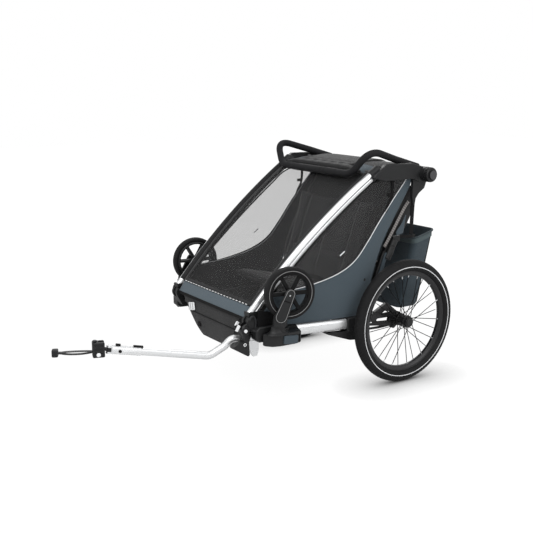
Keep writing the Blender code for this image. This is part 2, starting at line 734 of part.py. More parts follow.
def add_lower_frame():
    add_pair("rail", build_rail(), SILVER, lower_pair)
    add_pair("rear_bracket", build_rear_bracket(), BLACK, lower_pair)
    add_part("front_knuckle_left", build_arm_receiver(build_knuckle()), BLACK, trailer)
    add_part("front_knuckle_right", mirrored(build_knuckle()), BLACK, trailer)
    reach = ARM_SEAT[0] - KEEPER_REACH - SEAT_GAP
    add_part("front_cross_tube", round_bar(-reach, reach, CROSS_TUBE_RADIUS, *CROSS_TUBE, 14), BLACK, trailer)
    beam_end = STRUT_X + 0.0035
    beam = round_bar(-beam_end, beam_end, BEAM_RADIUS, *BEAM)
    lug = side_prism(capsule(BEAM, (-0.205, 0.236), 0.012, 0.010, 6), 0.030, 0.042)
    lug = fuse(lug, round_bar(0.024, 0.084, 0.0042, -0.205, 0.236, 14))
    add_part("rear_beam", fuse(beam, lug), CAST, trailer)


def build_wheel_bracket():
    x_low = RAIL_X + RAIL_WIDTH / 2 + 0.0008
    outline = [(x_low, -0.6035), (x_low, -0.536), (0.352, -0.533), (0.377, -0.545), (0.384, -0.575),
               (0.382, -0.640), (0.372, -0.672), (0.350, -0.690), (0.3345, -0.694), (0.3345, -0.6035)]
    body = round_edges(plan_prism(outline, 0.2520, 0.2985), 0.004)
    collar = upright_bar(*STEM, 0.298, COLLAR_TOP_Z, STEM_RADIUS + 0.0150, 18, STEM_RADIUS + 0.0105)
    rib = plan_prism([(x_low, -0.602), (x_low, -0.560), (0.350, -0.585), (0.352, -0.602)], 0.298, 0.309)
    bracket = fuse(body, collar, rib)
    bore = upright_bar(*STEM, STEM_BOTTOM - SEAT_GAP, 0.34, STEM_RADIUS + TURN_GAP, 16)
    pocket = box((0.3750, 0.40), BRACKET_BUTTON_Y, BRACKET_BUTTON_Z)
    return cut(bracket, bore, pocket)


def build_bracket_button():
    gap = TURN_GAP
    (y_low, y_high), (z_low, z_high) = BRACKET_BUTTON_Y, BRACKET_BUTTON_Z
    button = box((0.3785, 0.3864), (y_low + gap, y_high - gap), (z_low + gap, z_high - gap))
    return round_edges(button, 0.0012)


def build_brake_pedal():
    hinge = (-0.205, 0.236)
    arm = side_prism(capsule(hinge, (-0.110, 0.225), 0.009, 0.006, 6), 0.0435, 0.0605)
    pad = side_prism([(-0.120, 0.2215), (-0.062, 0.2160), (-0.056, 0.2210), (-0.060, 0.2290), (-0.118, 0.2335)],
                     0.0250, 0.0790)
    pad = round_edges(pad, 0.0015)
    bore = round_bar(0.03, 0.08, 0.0042 + TURN_GAP, *hinge, 14)
    return cut(fuse(arm, pad), bore)


def add_brackets():
    add_pair("wheel_bracket", build_wheel_bracket(), BLACK, lower_pair)
    buttons = pivot_pair("bracket_button_axis", 0.380, sum(BRACKET_BUTTON_Y) / 2, sum(BRACKET_BUTTON_Z) / 2)
    add_pair("bracket_button", build_bracket_button(), SLATE_PLASTIC, buttons)
    pedal = make_empty("brake_pedal_axis", 0.052, -0.205, 0.236, trailer)
    add_part("brake_pedal", build_brake_pedal(), SLATE_PLASTIC, pedal)


# Stroller wheels

def build_fork():
    x, y = STEM
    hub_y, hub_z = CASTER
    arm_x = CASTER_X + CASTER_WIDTH / 2 + 0.006
    base = COLLAR_TOP_Z + SEAT_GAP * 2
    stem = upright_bar(x, y, STEM_BOTTOM, base + 0.010, STEM_RADIUS, 16)
    shoulder = plan_prism([(x - 0.014, y - 0.014), (arm_x + 0.008, y - 0.017), (arm_x + 0.010, y - 0.013),
                           (arm_x + 0.010, y + 0.015), (x - 0.008, y + 0.016), (x - 0.015, y + 0.008)],
                          base, base + 0.0160)
    shoulder = round_edges(shoulder, 0.002)
    arm = side_prism(capsule((y, base + 0.0165), (hub_y, hub_z), 0.0170, 0.0125, 7), arm_x, arm_x + 0.0095)
    arm = round_edges(arm, 0.0015)
    recess = side_prism(capsule((y + 0.003, base + 0.030), (hub_y - 0.004, hub_z - 0.022), 0.0095, 0.0070, 6),
                        arm_x + 0.0080, arm_x + 0.02)
    pin = round_bar(CASTER_X - 0.012, arm_x + 0.002, CASTER_PIN_RADIUS, hub_y, hub_z, 12)
    return fuse(cut(fuse(arm, shoulder), recess), stem, pin)


def build_caster_wheel():
    y, z = CASTER
    outer = CASTER_RIM_RADIUS
    rim = turned_ring([(-0.012, outer), (-0.0145, outer - 0.006), (-0.0125, outer - 0.0115),
                       (0.0125, outer - 0.0115), (0.0145, outer - 0.006), (0.012, outer)],
                      CASTER_X, y, z, CASTER_STEPS)
    hub = round_bar(CASTER_X - 0.0145, CASTER_X + 0.0145, 0.0170, y, z, 16)
    wheel = fuse(rim, hub)
    for k in range(CASTER_SPOKES):
        angle = 2 * math.pi * k / CASTER_SPOKES
        start = (y + 0.010 * math.cos(angle), z + 0.010 * math.sin(angle))
        end = (y + (outer - 0.009) * math.cos(angle), z + (outer - 0.009) * math.sin(angle))
        spoke = side_prism(capsule(start, end, 0.0065, 0.0045, 3), CASTER_X - 0.0085, CASTER_X + 0.0085)
        wheel = fuse(wheel, spoke)
    bore = round_bar(CASTER_X - 0.03, CASTER_X + 0.03, CASTER_PIN_RADIUS + TURN_GAP, y, z, 12)
    return cut(wheel, bore)


def build_caster_tyre():
    half = CASTER_WIDTH / 2
    seat = CASTER_RIM_RADIUS + SEAT_GAP
    middle = (CASTER_RADIUS + seat) / 2
    rise = (CASTER_RADIUS - seat) / 2
    profile = [(half * math.cos(a), middle + rise * math.sin(a)) for a in np.radians(np.linspace(195, -15, 7))]
    profile = [(-0.011, seat)] + profile + [(0.011, seat)]
    return turned_ring(profile, CASTER_X, *CASTER, CASTER_STEPS)


def add_stroller_wheels():
    # The two wheels turn the same way about their stems, so the right one is turned back after mirroring
    for side, label, stem, yaw in ((1, "left", stem_pair[0], CASTER_YAW_LEFT),
                                   (-1, "right", stem_pair[1], CASTER_YAW_RIGHT)):
        axis = Vector((side * STEM[0], STEM[1], 0.0))
        turn = Matrix.Rotation(-yaw, 4, "Z")
        hub = axis + turn @ (Vector((side * CASTER_X, CASTER[0], 0.0)) - axis)
        spin = make_empty("stroller_wheel_axis_" + label, hub.x, hub.y, CASTER[1], stem)
        for name, build, material, pivot in (("stroller_fork_", build_fork, BLACK, stem),
                                             ("stroller_wheel_", build_caster_wheel, BLACK, spin),
                                             ("stroller_tyre_", build_caster_tyre, RUBBER, spin)):
            shape = build()
            if side < 0:
                shape = mirrored(shape)
            add_part(name + label, turn_about(shape, axis, -yaw), material, pivot)


# Upper frame

def upper_tube_path(start, stop, count):
    return [tuple(tube_point(t)) for t in np.linspace(start, stop, count)]


def tube_section(grow=0.0, groove=0.0):
    return oval(TUBE_HEIGHT / 2 + grow, TUBE_WIDTH / 2 + grow, TUBE_SIDES + 2, groove)


def build_upper_tube():
    tube = sweep(upper_tube_path(-0.050, 0.965, 12), tube_section(0.0, GROOVE_DEPTH))
    below = box((0.2, 0.4), (-0.9, -0.5), (0.25, FOOT_TOP_Z + SEAT_GAP))
    return cut(tube, below)


def build_tube_foot():
    y, z = FOLD
    inner = TUBE_FOOT_X - LUG_WIDTH / 2
    outer = TUBE_FOOT_X + LUG_WIDTH / 2
    top = FOOT_TOP_Z - z
    # The underside swells towards its low end, which passes the flat side of the cheeks as the frame folds
    under = []
    for a, b in arc((0, 0), 1.0, 22, 116, 8):
        swell = 0.0026 * max(0.0, (50 - math.degrees(math.atan2(b, a))) / 28)
        reach = CHEEK_RADIUS + 0.0017 + swell
        under.append((y + a * reach, z + b * reach))
    body = side_prism([(y - 0.0125, z + top), (y - 0.0125, z + 0.028)] + under[::-1]
                      + [(y + 0.042, z + 0.018), (y + 0.048, z + top)],
                      TUBE_FOOT_X - TUBE_FOOT_WIDTH / 2, TUBE_FOOT_X + TUBE_FOOT_WIDTH / 2)
    lug = side_prism(capsule(FOLD, (y + 0.014, z + 0.020), 0.0155, 0.0155, 8), inner, outer)
    bore = round_bar(inner - 0.01, outer + 0.01, FOLD_PIN_RADIUS + TURN_GAP, y, z)
    return cut(fuse(lug, body), bore)


def build_hub_plate():
    low, high = PLATE_X, PLATE_X + PLATE_WIDTH
    y, z = HUB_AXIS
    body = side_prism([(-0.158, 0.893), (-0.168, 0.884), (-0.120, 0.832), (-0.105, 0.829), (0.044, 0.829),
                       (y - 0.012, z - 0.034), (y + 0.012, z - 0.004), (y, z + 0.028), (0.040, 0.893),
                       (-0.100, 0.900)],
                      low, high)
    body = round_edges(body, 0.004)
    collar = sweep(upper_tube_path(0.915, 1.0, 4), tube_section(0.0045))
    boss = round_bar(low, high + 0.012, HUB_RADIUS, y, z, 18)
    cap = turned_solid([(high + 0.006, 0.029), (HUB_CAP_REACH - 0.010, 0.029), (HUB_CAP_REACH - 0.007, 0.0265)],
                       0.0, y, z, 18)
    horn = side_prism([(y - 0.055, z - 0.010), (y - 0.057, z - 0.090), (y - 0.050, z - 0.126),
                       (y - 0.043, z - 0.126),
                       (y - 0.038, z - 0.098), (y - 0.022, z - 0.078), (y + 0.008, z - 0.058), (y + 0.020, z - 0.026),
                       (y + 0.010, z - 0.004)], low + 0.002, high - 0.010)
    strut_pin = round_bar(STRUT_X - STRUT_WIDTH / 2 - 0.001, low + 0.004, STRUT_PIN_RADIUS, *STRUT_TOP)
    plate = fuse(body, collar, boss, cap, horn, strut_pin)
    tube_hole = sweep(upper_tube_path(0.86, 0.965 + 0.0006, 4), tube_section(SEAT_GAP))
    pocket = round_bar(HUB_CAP_REACH - 0.017, HUB_CAP_REACH + 0.02, HUB_BUTTON_RADIUS + TURN_GAP, y, z)
    return cut(plate, tube_hole, pocket)


def build_hub_button():
    y, z = HUB_AXIS
    back = HUB_CAP_REACH - 0.017 + HUB_BUTTON_TRAVEL + SEAT_GAP
    return turned_solid([(back, HUB_BUTTON_RADIUS), (HUB_CAP_REACH - 0.0035, HUB_BUTTON_RADIUS),
                         (HUB_CAP_REACH - 0.001, HUB_BUTTON_RADIUS - 0.003)], 0.0, y, z)


def build_handlebar():
    y, z = HUB_AXIS
    half = [(BAR_X, y - 0.005, z + 0.027), (BAR_X, *BAR_STRAIGHT), (BAR_TOP_X, *BAR_TOP), (BAR_CROSS_X, *BAR_CROSS)]
    other = [(-x, py, pz) for x, py, pz in reversed(half)]
    bar = round_sweep(filleted(half + other, BAR_BEND, 4), BAR_RADIUS, BAR_SIDES)
    inner = BAR_X - 0.0175
    outer = PLATE_X - TURN_GAP
    for side in (1, -1):
        ends = sorted((side * inner, side * outer))
        drum = turned_solid([(ends[0], 0.0255), (ends[0] + 0.002, 0.028), (ends[1] - 0.002, 0.028),
                             (ends[1], 0.0255)], 0.0, y, z, 18)
        bar = fuse(bar, drum)
    return bar


def add_upper_frame():
    add_pair("upper_tube", build_upper_tube(), SILVER, upper_pair)
    add_pair("tube_foot", build_tube_foot(), BLACK, upper_pair)
    add_pair("hub_plate", build_hub_plate(), BLACK, upper_pair)
    buttons = pivot_pair("hub_button_axis", HUB_CAP_REACH, *HUB_AXIS, upper_pair)
    add_pair("hub_button", build_hub_button(), SLATE_PLASTIC, buttons)
    reach = PLATE_X - SEAT_GAP
    add_part("roof_crossbar", round_bar(-reach, reach, CROSSBAR_RADIUS, *CROSSBAR, 14), BLACK, upper)
    add_part("handlebar", build_handlebar(), FOAM, bar_pivot)


# Folding struts

def build_strut():
    low, high = STRUT_X - STRUT_WIDTH / 2, STRUT_X + STRUT_WIDTH / 2
    top, foot = STRUT_TOP, STRUT_FOOT
    eye = side_prism(arc(top, 0.0160, 0, 337.5, 16), low, high)
    blade = [(STRUT_X, *strut_point(t)) for t in (0.0, 0.60)]
    flat = sweep(blade, [(0.0085, 0.0085), (-0.0085, 0.0085), (-0.0085, -0.0085), (0.0085, -0.0085)])
    sleeve_path = [(STRUT_X, *strut_point(t)) for t in (1 - SLEEVE_SHARE, 1 - SLEEVE_SHARE + 0.04, 0.97, 0.995)]
    deep = STRUT_DEPTH / 2 + 0.004
    wide = STRUT_WIDTH / 2
    rings = []
    for point, share in zip(sleeve_path, (0.75, 1.0, 1.0, 0.7)):
        along = (Vector((0, *foot)) - Vector((0, *top))).normalized()
        up = along.cross(Vector((1, 0, 0)))
        corners = rounded_rectangle(wide * min(1.0, share + 0.1), deep * share, 0.004 * share, 2)
        rings.append([Vector(point) + Vector((a, 0, 0)) + up * b for a, b in corners])
    strut = fuse(flat, eye, loft(rings))
    bore = round_bar(low - 0.01, high + 0.01, STRUT_PIN_RADIUS + TURN_GAP, *top)
    return cut(strut, bore)


def build_fold_lever():
    x = STRUT_X + STRUT_WIDTH / 2 + SEAT_GAP
    start, end = strut_point(0.60), strut_point(0.84)
    lever = side_prism(capsule(start, end, 0.0095, 0.0065, 6), x, x + 0.0062)
    return round_edges(lever, 0.0012)


def add_struts():
    add_pair("strut", build_strut(), BLACK, strut_pair)
    reach = STRUT_X - STRUT_WIDTH / 2 - SEAT_GAP
    middle = strut_point(0.68)
    add_part("strut_cross_tube", round_bar(-reach, reach, 0.010, *middle, 14), BLACK, strut_pivot)
    levers = pivot_pair("fold_lever_axis", STRUT_X + STRUT_WIDTH / 2, *strut_point(0.60), strut_pair)
    add_pair("fold_lever", build_fold_lever(), SLATE_PLASTIC, levers)


# Tow arm and hitch

def arm_frame():
    along = (Vector(ARM_TIP) - Vector(ARM_KNEE)).normalized()
    across = along.cross(Vector((0, 0, 1))).normalized()
    return along, across, across.cross(along).normalized()


def along_arm(distance):
    along = arm_frame()[0]
    return Vector(ARM_TIP) + along * distance


def build_tow_arm():
    tube = round_sweep(arm_path(), ARM_RADIUS, BAR_SIDES)
    along, across, up = arm_frame()
    collar = round_sweep([along_arm(-SLEEVE_LENGTH), along_arm(-SLEEVE_LENGTH + 0.004), along_arm(0.0008)],
                         ARM_RADIUS + 0.0022, 16)
    bolts = [round_sweep([along_arm(-0.030) + across * side * 0.010, along_arm(-0.030) + across * side * 0.0195],
                         0.0055, 10) for side in (1, -1)]
    catch = round_sweep([along_arm(-0.070) + up * 0.010, along_arm(-0.070) + up * 0.0185], 0.0065, 10)
    yaw = along_arm(YAW_PLACE)
    fork = round_sweep([yaw - up * 0.0150, yaw + up * 0.0150], EYE_RADIUS + 0.001, 16)
    root = oriented_block(along_arm(YAW_PLACE / 2 - 0.003), along, across, up,
                          (EYE_RADIUS + 0.0006, YAW_PLACE / 2 + 0.003, 0.0148))
    slot_back = YAW_PLACE - EYE_RADIUS - TURN_GAP * 2
    slot = oriented_block(along_arm(slot_back + 0.020), along, across, up, (0.03, 0.020, EYE_HALF_WIDTH + TURN_GAP))
    pin = round_sweep([yaw - up * 0.012, yaw + up * 0.012], YAW_PIN_RADIUS, 12)
    tail = side_prism([(-0.6990, 0.2630), (-0.6570, 0.2625), (-0.6550, 0.2117), (-0.6615, 0.1870), (-0.6780, 0.1850),
                       (-0.6885, 0.1980), (-0.7005, 0.2466)], ARM_TAIL[0] - 0.0053, ARM_TAIL[0] + 0.0064)
    return fuse(cut(fuse(tube, tail, collar, *bolts, catch, fork, root), slot), pin)


def build_neck():
    along, across, up = arm_frame()
    yaw_place, pitch_place = along_arm(YAW_PLACE), along_arm(PITCH_PLACE)
    bar = round_sweep([yaw_place, pitch_place], EYE_HALF_WIDTH - 0.0006, 12)
    yaw_eye = round_sweep([yaw_place - up * EYE_HALF_WIDTH, yaw_place + up * EYE_HALF_WIDTH], EYE_RADIUS, 16)
    pitch_eye = round_sweep([pitch_place - across * EYE_HALF_WIDTH, pitch_place + across * EYE_HALF_WIDTH],
                            EYE_RADIUS, 16)
    yaw_bore = round_sweep([yaw_place - up * 0.03, yaw_place + up * 0.03], YAW_PIN_RADIUS + TURN_GAP, 12)
    pitch_bore = round_sweep([pitch_place - across * 0.03, pitch_place + across * 0.03],
                             PITCH_PIN_RADIUS + TURN_GAP, 12)
    return cut(fuse(bar, yaw_eye, pitch_eye), yaw_bore, pitch_bore)


def hitch_frame():
    # The hitch block hangs level from the sloping arm
    along, across, up = arm_frame()
    level = Vector((along.x, along.y, 0)).normalized()
    return along_arm(PITCH_PLACE), level, across, Vector((0, 0, 1))


def oriented_block(centre, along, across, up, half):
    # Half sizes are given across, along and up
    rings = []
    for level in (-half[2], half[2]):
        rings.append([centre + along * a * half[1] + across * b * half[0] + up * level
                      for a, b in ((-1, -1), (1, -1), (1, 1), (-1, 1))])
    return loft(rings)


def build_hitch_block():
    centre, along, across, up = hitch_frame()
    width, length, height = HITCH_SIZE
    middle = centre + along * (length / 2 - HITCH_SETBACK)
    block = round_edges(oriented_block(middle, along, across, up, (width / 2, length / 2, height / 2)), 0.003)
    slot = oriented_block(centre - along * 0.008, along, across, up, (EYE_HALF_WIDTH + TURN_GAP, 0.0200, 0.05))
    block = cut(block, slot)
    pin = round_sweep([centre - across * 0.012, centre + across * 0.012], PITCH_PIN_RADIUS, 12)
    ribs = []
    for level in (-0.010, 0.004, 0.018):
        ribs.append(oriented_block(middle - across * width / 2 + up * level, along, across, up,
                                   (0.0022, length / 2 - 0.007, 0.0035)))
    block = cut(block, *ribs)
    low = middle - up * (height / 2 - 0.0115) + along * 0.001
    hole = round_sweep([low - across * 0.05, low + across * 0.05], 0.0062, 12)
    pin_place = middle + along * 0.0125
    pin_bore = round_sweep([pin_place - up * 0.05, pin_place + up * 0.05], HITCH_PIN_RADIUS + TURN_GAP, 12)
    return fuse(cut(block, hole, pin_bore), pin)


def build_hitch_pin():
    centre, along, across, up = hitch_frame()
    place = centre + along * (HITCH_SIZE[1] / 2 - HITCH_SETBACK + 0.0125)
    top = HITCH_SIZE[2] / 2
    shaft = round_sweep([place - up * (top - 0.004), place + up * (top + 0.004)], HITCH_PIN_RADIUS, 12)
    head = round_sweep([place + up * (top + SEAT_GAP), place + up * (top + 0.006)], 0.0080, 14)
    return fuse(shaft, head)


def build_strap():
    # A doubled webbing that runs on from the hitch block to its buckle
    centre, along, across, up = hitch_frame()
    start = centre + along * (HITCH_SIZE[1] - HITCH_SETBACK + SEAT_GAP) - up * 0.008
    end = start + Matrix.Rotation(-STRAP_TURN, 3, "Z") @ along * STRAP_LENGTH
    ahead = (end - start).normalized()
    high = across.cross(ahead).normalized()
    webbing = loft([[start + (ahead * d if d else Vector()) + across * a * 0.010 + high * b * 0.0035
                     for a, b in ((-1, -1), (1, -1), (1, 1), (-1, 1))] for d in (0.0, STRAP_LENGTH)])
    gap = loft([[start + ahead * d + across * a * 0.05 + high * b * 0.0014
                 for a, b in ((-1, -1), (1, -1), (1, 1), (-1, 1))] for d in (0.012, STRAP_LENGTH - 0.004)])
    buckle = round_edges(oriented_block(end + ahead * 0.008, ahead, across, high, (0.014, 0.011, 0.014)), 0.0025)
    notch = oriented_block(end + ahead * 0.016 - high * 0.009, ahead, across, high, (0.007, 0.008, 0.010))
    return cut(fuse(cut(webbing, gap), buckle), notch)


def add_tow_arm():
    add_part("tow_arm", build_tow_arm(), SILVER, trailer)
    yaw = make_empty("coupler_yaw", *along_arm(YAW_PLACE), trailer)
    pitch = make_empty("coupler_pitch", *along_arm(PITCH_PLACE), yaw)
    add_part("coupler_neck", build_neck(), BLACK, yaw)
    add_part("hitch_block", build_hitch_block(), BLACK, pitch)
    add_part("hitch_pin", build_hitch_pin(), CAST, pitch)
    add_part("safety_strap", build_strap(), BLACK, pitch)


# Cabin

def sheet_from(surface, thickness, rows, columns):
    # Thickens a surface of two shares, from 0 to 1, square to itself
    middle = np.array([[surface(u, v) for v in np.linspace(0, 1, columns)] for u in np.linspace(0, 1, rows)])
    along = np.gradient(middle, axis=0)
    across = np.gradient(middle, axis=1)
    normal = np.cross(along, across)
    normal /= np.linalg.norm(normal, axis=2, keepdims=True)
    return slab(middle + normal * thickness / 2, middle - normal * thickness / 2)


def cover_point(t, share, lift=0.009):
    # Between the two upper tubes, at one share of their length
    edge = tube_point(t, lift)
    half = edge[0] - TUBE_WIDTH / 2 - 0.0060
    crown = 0.010 * math.sin(math.pi * share) * math.sin(math.pi * min(1.0, t * 1.05))
    lifted = tube_point(t, lift + crown)
    return (half * (2 * share - 1), lifted[1], lifted[2])


def build_front_cover():
    return sheet_from(lambda u, v: cover_point(0.030 + (0.930 - 0.030) * u, v), COVER_THICKNESS, 13, 9)


def build_front_panel():
    half = TUBE_FOOT_X - TUBE_FOOT_WIDTH / 2 - 0.006

    def surface(u, v):
        bulge = 0.004 * math.sin(math.pi * v) * math.sin(math.pi * (0.15 + 0.85 * u))
        return (half * (2 * v - 1), -0.6965 - 0.0275 * u - bulge, 0.3875 - 0.0400 * u)
    return sheet_from(surface, 0.004, 4, 9)


def upward_normals(curve):
    # Unit vectors square to a side curve that runs rearwards, pointing up
    tangent = np.gradient(curve, axis=0)
    normal = np.column_stack([-tangent[:, 1], tangent[:, 0]])
    return normal / np.linalg.norm(normal, axis=1)[:, None]


def side_surface(lower, upper, lower_x, upper_x, bulge):
    # A sheet between two side curves, of equal counts, bowed outwards
    def surface(u, v):
        k = u * (len(lower) - 1)
        i = min(int(k), len(lower) - 2)
        low = lower[i] + (lower[i + 1] - lower[i]) * (k - i)
        high = upper[i] + (upper[i + 1] - upper[i]) * (k - i)
        place = low + (high - low) * v
        out = bulge * math.sin(math.pi * v) * math.sin(math.pi * u)
        return (lower_x + (upper_x(u) - lower_x) * v + out, place[0], place[1])
    return surface


def build_side_window():
    under = [tube_point(t, -TUBE_HEIGHT / 2 - 0.006)[1:] for t in np.linspace(0.145, 0.900, 8)]
    upper_curve = smooth_curve(under + [(-0.080, 0.8225), (0.002, 0.8215)], 18)
    piping = smooth_curve(PIPING, 18)
    lower_curve = piping + upward_normals(piping) * PANEL_GAP / 2
    surface = side_surface(lower_curve, upper_curve, PANEL_X, lambda u: 0.292 + 0.012 * u, 0.003)
    return sheet_from(surface, COVER_THICKNESS, 18, 6)


def build_side_panel():
    front = smooth_curve([(-0.686, 0.352), (-0.655, 0.392), (-0.632, 0.419), PIPING[0]], 6)[:-1]
    piping = np.vstack([front, smooth_curve(PIPING, 18)])
    rear = [(-0.178, 0.320), (-0.160, 0.400), (-0.136, 0.480), (-0.091, 0.588), (-0.015, 0.710), (0.034, 0.785)]
    outer = smooth_curve([(-0.686, 0.3265), (-0.606, 0.3240), (-0.585, 0.3130), (-0.450, 0.3020),
                          (-0.300, 0.2955),
                          (-0.200, 0.2965)] + rear + [(0.040, 0.814)], 23)
    inner = piping - upward_normals(piping) * PANEL_GAP / 2
    surface = side_surface(outer, inner, PANEL_X, lambda u: PANEL_X, 0.004)
    return sheet_from(surface, COVER_THICKNESS, 23, 6)


def smooth_step(value, start, end):
    share = min(1.0, max(0.0, (value - start) / (end - start)))
    return share * share * (3 - 2 * share)


def tub_half_width(y):
    # Narrow between the front knuckles, wider between the rails
    return 0.2325 + 0.0575 * smooth_step(y, -0.700, -0.625)


def tub_ring(level, inset):
    # One level of the footwell, from 0 at the floor to 1 at the rim
    front = TUB_FRONT + 0.020 * (1 - level) ** 2 + inset
    rear = TUB_REAR - 0.060 * (1 - level) - inset
    middle, half_y = (front + rear) / 2, (rear - front) / 2
    z = TUB_BOTTOM_Z + (TUB_TOP_Z - TUB_BOTTOM_Z) * level
    narrow = TUB_FLOOR_SHARE + (1 - TUB_FLOOR_SHARE) * level ** 0.9
    ring = []
    for px, py in rounded_rectangle(1.0, half_y, 0.030, 5):
        y = middle + py
        width = tub_half_width(y) * narrow - inset
        lip = TUB_FRONT_LIP * level ** 2 * (1 - smooth_step(y, -0.710, -0.670))
        ring.append((px * width, y, z + lip))
    return ring


def build_footwell():
    outer = [tub_ring(level, 0.0) for level in (0.0, 0.12, 0.4, 0.7, 1.0)]
    inner = [tub_ring(level, 0.003) for level in (1.0, 0.7, 0.4, 0.12, 0.0)]
    floor = [[(x, y, z + 0.003) for x, y, z in inner[-1]]]
    reach = ARM_SEAT[0]
    tube_hole = round_bar(-reach, reach, CROSS_TUBE_RADIUS + SEAT_GAP, *CROSS_TUBE, 14)
    return cut(loft(outer + inner[:-1] + floor), tube_hole)


def pillow(centre, half, tilt, crown, pull, rows=9, columns=9, channels=0):
    # A crowned pad whose sides draw in between its corners; local x across, y along, z up, then tilted about X
    us = np.linspace(-1, 1, columns)
    vs = np.linspace(-1, 1, rows)

    def level(sign):
        grid = np.zeros((rows, columns, 3))
        for i, v in enumerate(vs):
            for j, u in enumerate(us):
                dome = (1 - u ** 4) * (1 - v ** 4)
                groove = 0.25 * math.cos(math.pi * channels * v) ** 8 if channels else 0.0
                x = u * half[0] * (1 - pull * (1 - v ** 2) * abs(u) ** 3)
                y = v * half[1] * (1 - pull * (1 - u ** 2) * abs(v) ** 3)
                z = sign * (0.35 * half[2] + crown * dome * (1 - groove))
                grid[i, j] = (x, y, z)
        return grid
    turn = np.array(Matrix.Rotation(tilt, 3, "X"))
    top = level(1) @ turn.T + np.array(centre)
    base = level(-1) @ turn.T + np.array(centre)
    return slab(top, base)


def build_rear_wall():
    top, foot = WALL_TOP, WALL_FOOT

    def surface(u, v):
        sag = 0.010 * math.sin(math.pi * u) * math.sin(math.pi * v)
        return (WALL_HALF_WIDTH * (2 * v - 1), top[0] + (foot[0] - top[0]) * u + sag, top[1] + (foot[1] - top[1]) * u)
    return sheet_from(surface, COVER_THICKNESS, 6, 5)


def roof_z(y):
    # Highest over the crossbar, falling to both edges and faster towards the front
    share = (y - ROOF_RIDGE[0]) / 0.12
    return ROOF_RIDGE[1] - ROOF_FALL * share ** 2 - 0.003 * share ** 6


def build_roof():
    def surface(u, v):
        side = 2 * v - 1
        y = ROOF_FRONT + (ROOF_REAR - ROOF_FRONT) * u
        return (ROOF_HALF_WIDTH * side, y, roof_z(y) - 0.009 * side ** 8)
    return sheet_from(surface, ROOF_THICKNESS, 8, 11)


def build_sunshade():
    # The rolled shade lies on the roof: a fat front edge, and a thinner flap behind its middle
    columns = 15
    grids = []
    for top in (True, False):
        grid = np.zeros((7, columns, 3))
        for j, side in enumerate(np.linspace(-1, 1, columns)):
            rear = SHADE_REAR - 0.090 * smooth_step(abs(side), 0.58, 0.80)
            for i, share in enumerate(np.linspace(0, 1, 7)):
                y = SHADE_FRONT + (rear - SHADE_FRONT) * share
                base = roof_z(max(y, -0.160)) + ROOF_THICKNESS / 2 + 0.0020
                full = math.sin(math.pi * min(0.96, 0.10 + share * 1.3)) ** 0.5 if share < 0.6 else 0.55
                height = (0.004 + 0.012 * full * (1 - share * 0.6)) * (1 - 0.7 * abs(side) ** 10)
                grid[i, j] = (SHADE_HALF_WIDTH * side, y, base + (height if top else 0.0))
        grids.append(grid)
    return slab(*grids)


def bag_ring(level, inset):
    # One level of the cargo bag, from 0 at its floor to 1 at its rim
    front = BAG_FLOOR_FRONT + (BAG_RIM_FRONT - BAG_FLOOR_FRONT) * level + inset
    rear = BAG_FLOOR_REAR + (BAG_RIM_REAR - BAG_FLOOR_REAR) * level - inset
    rim_rise = BAG_RIM_RISE * level
    half_y = (rear - front) / 2
    ring = []
    for px, py in rounded_rectangle(BAG_HALF_WIDTH * (0.90 + 0.10 * level) - inset, half_y, 0.022, 4):
        z = BAG_BOTTOM_Z + (BAG_TOP_Z - BAG_BOTTOM_Z - BAG_RIM_RISE) * level + rim_rise * py / half_y
        ring.append((px, (front + rear) / 2 + py, z))
    return ring


def build_cargo_bag():
    levels = (0.0, 0.05, 0.35, 0.68, 0.93, 0.94, 1.0)
    proud = (0.008, 0.0, 0.0, 0.0, 0.0, -0.0025, -0.0025)
    outer = [bag_ring(level, grow) for level, grow in zip(levels, proud)]
    inner = [bag_ring(level, BAG_WALL) for level in reversed(levels[1:4])]
    inner.insert(0, bag_ring(1.0, BAG_WALL))
    floor = [(x * 0.985, y, BAG_BOTTOM_Z + BAG_WALL) for x, y, z in bag_ring(0.0, BAG_WALL + 0.006)]
    return loft(outer + inner + [floor])


def add_cabin():
    add_part("footwell", build_footwell(), MESH, trailer)
    add_part("front_panel", build_front_panel(), SLATE, trailer)
    add_pair("side_panel", build_side_panel(), SLATE, lower_pair)
    add_pair("side_window", build_side_window(), WINDOW, lower_pair)
    seat = pillow((0.0, -0.330, 0.372), (0.262, 0.125, 0.030), math.radians(-13), 0.014, 0.05, 9, 15)
    add_part("seat_cushion", seat, MESH, trailer)
    back = pillow((0.0, -0.146, 0.560), (0.248, 0.185, 0.022), math.radians(-109), 0.011, 0.05, 11, 15, 3)
    add_part("seat_back", back, MESH, trailer)
    add_part("rear_wall", build_rear_wall(), MESH, trailer)
    add_part("cargo_bag", build_cargo_bag(), SLATE, trailer)
    add_part("roof", build_roof(), SLATE, upper)
    add_part("sunshade", build_sunshade(), MESH, upper)
    add_part("front_cover", build_front_cover(), WINDOW, upper)


add_wheels()
add_suspension()
add_lower_frame()
add_brackets()
add_stroller_wheels()
add_upper_frame()
add_struts()
add_tow_arm()
add_cabin()
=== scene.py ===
import json
import math

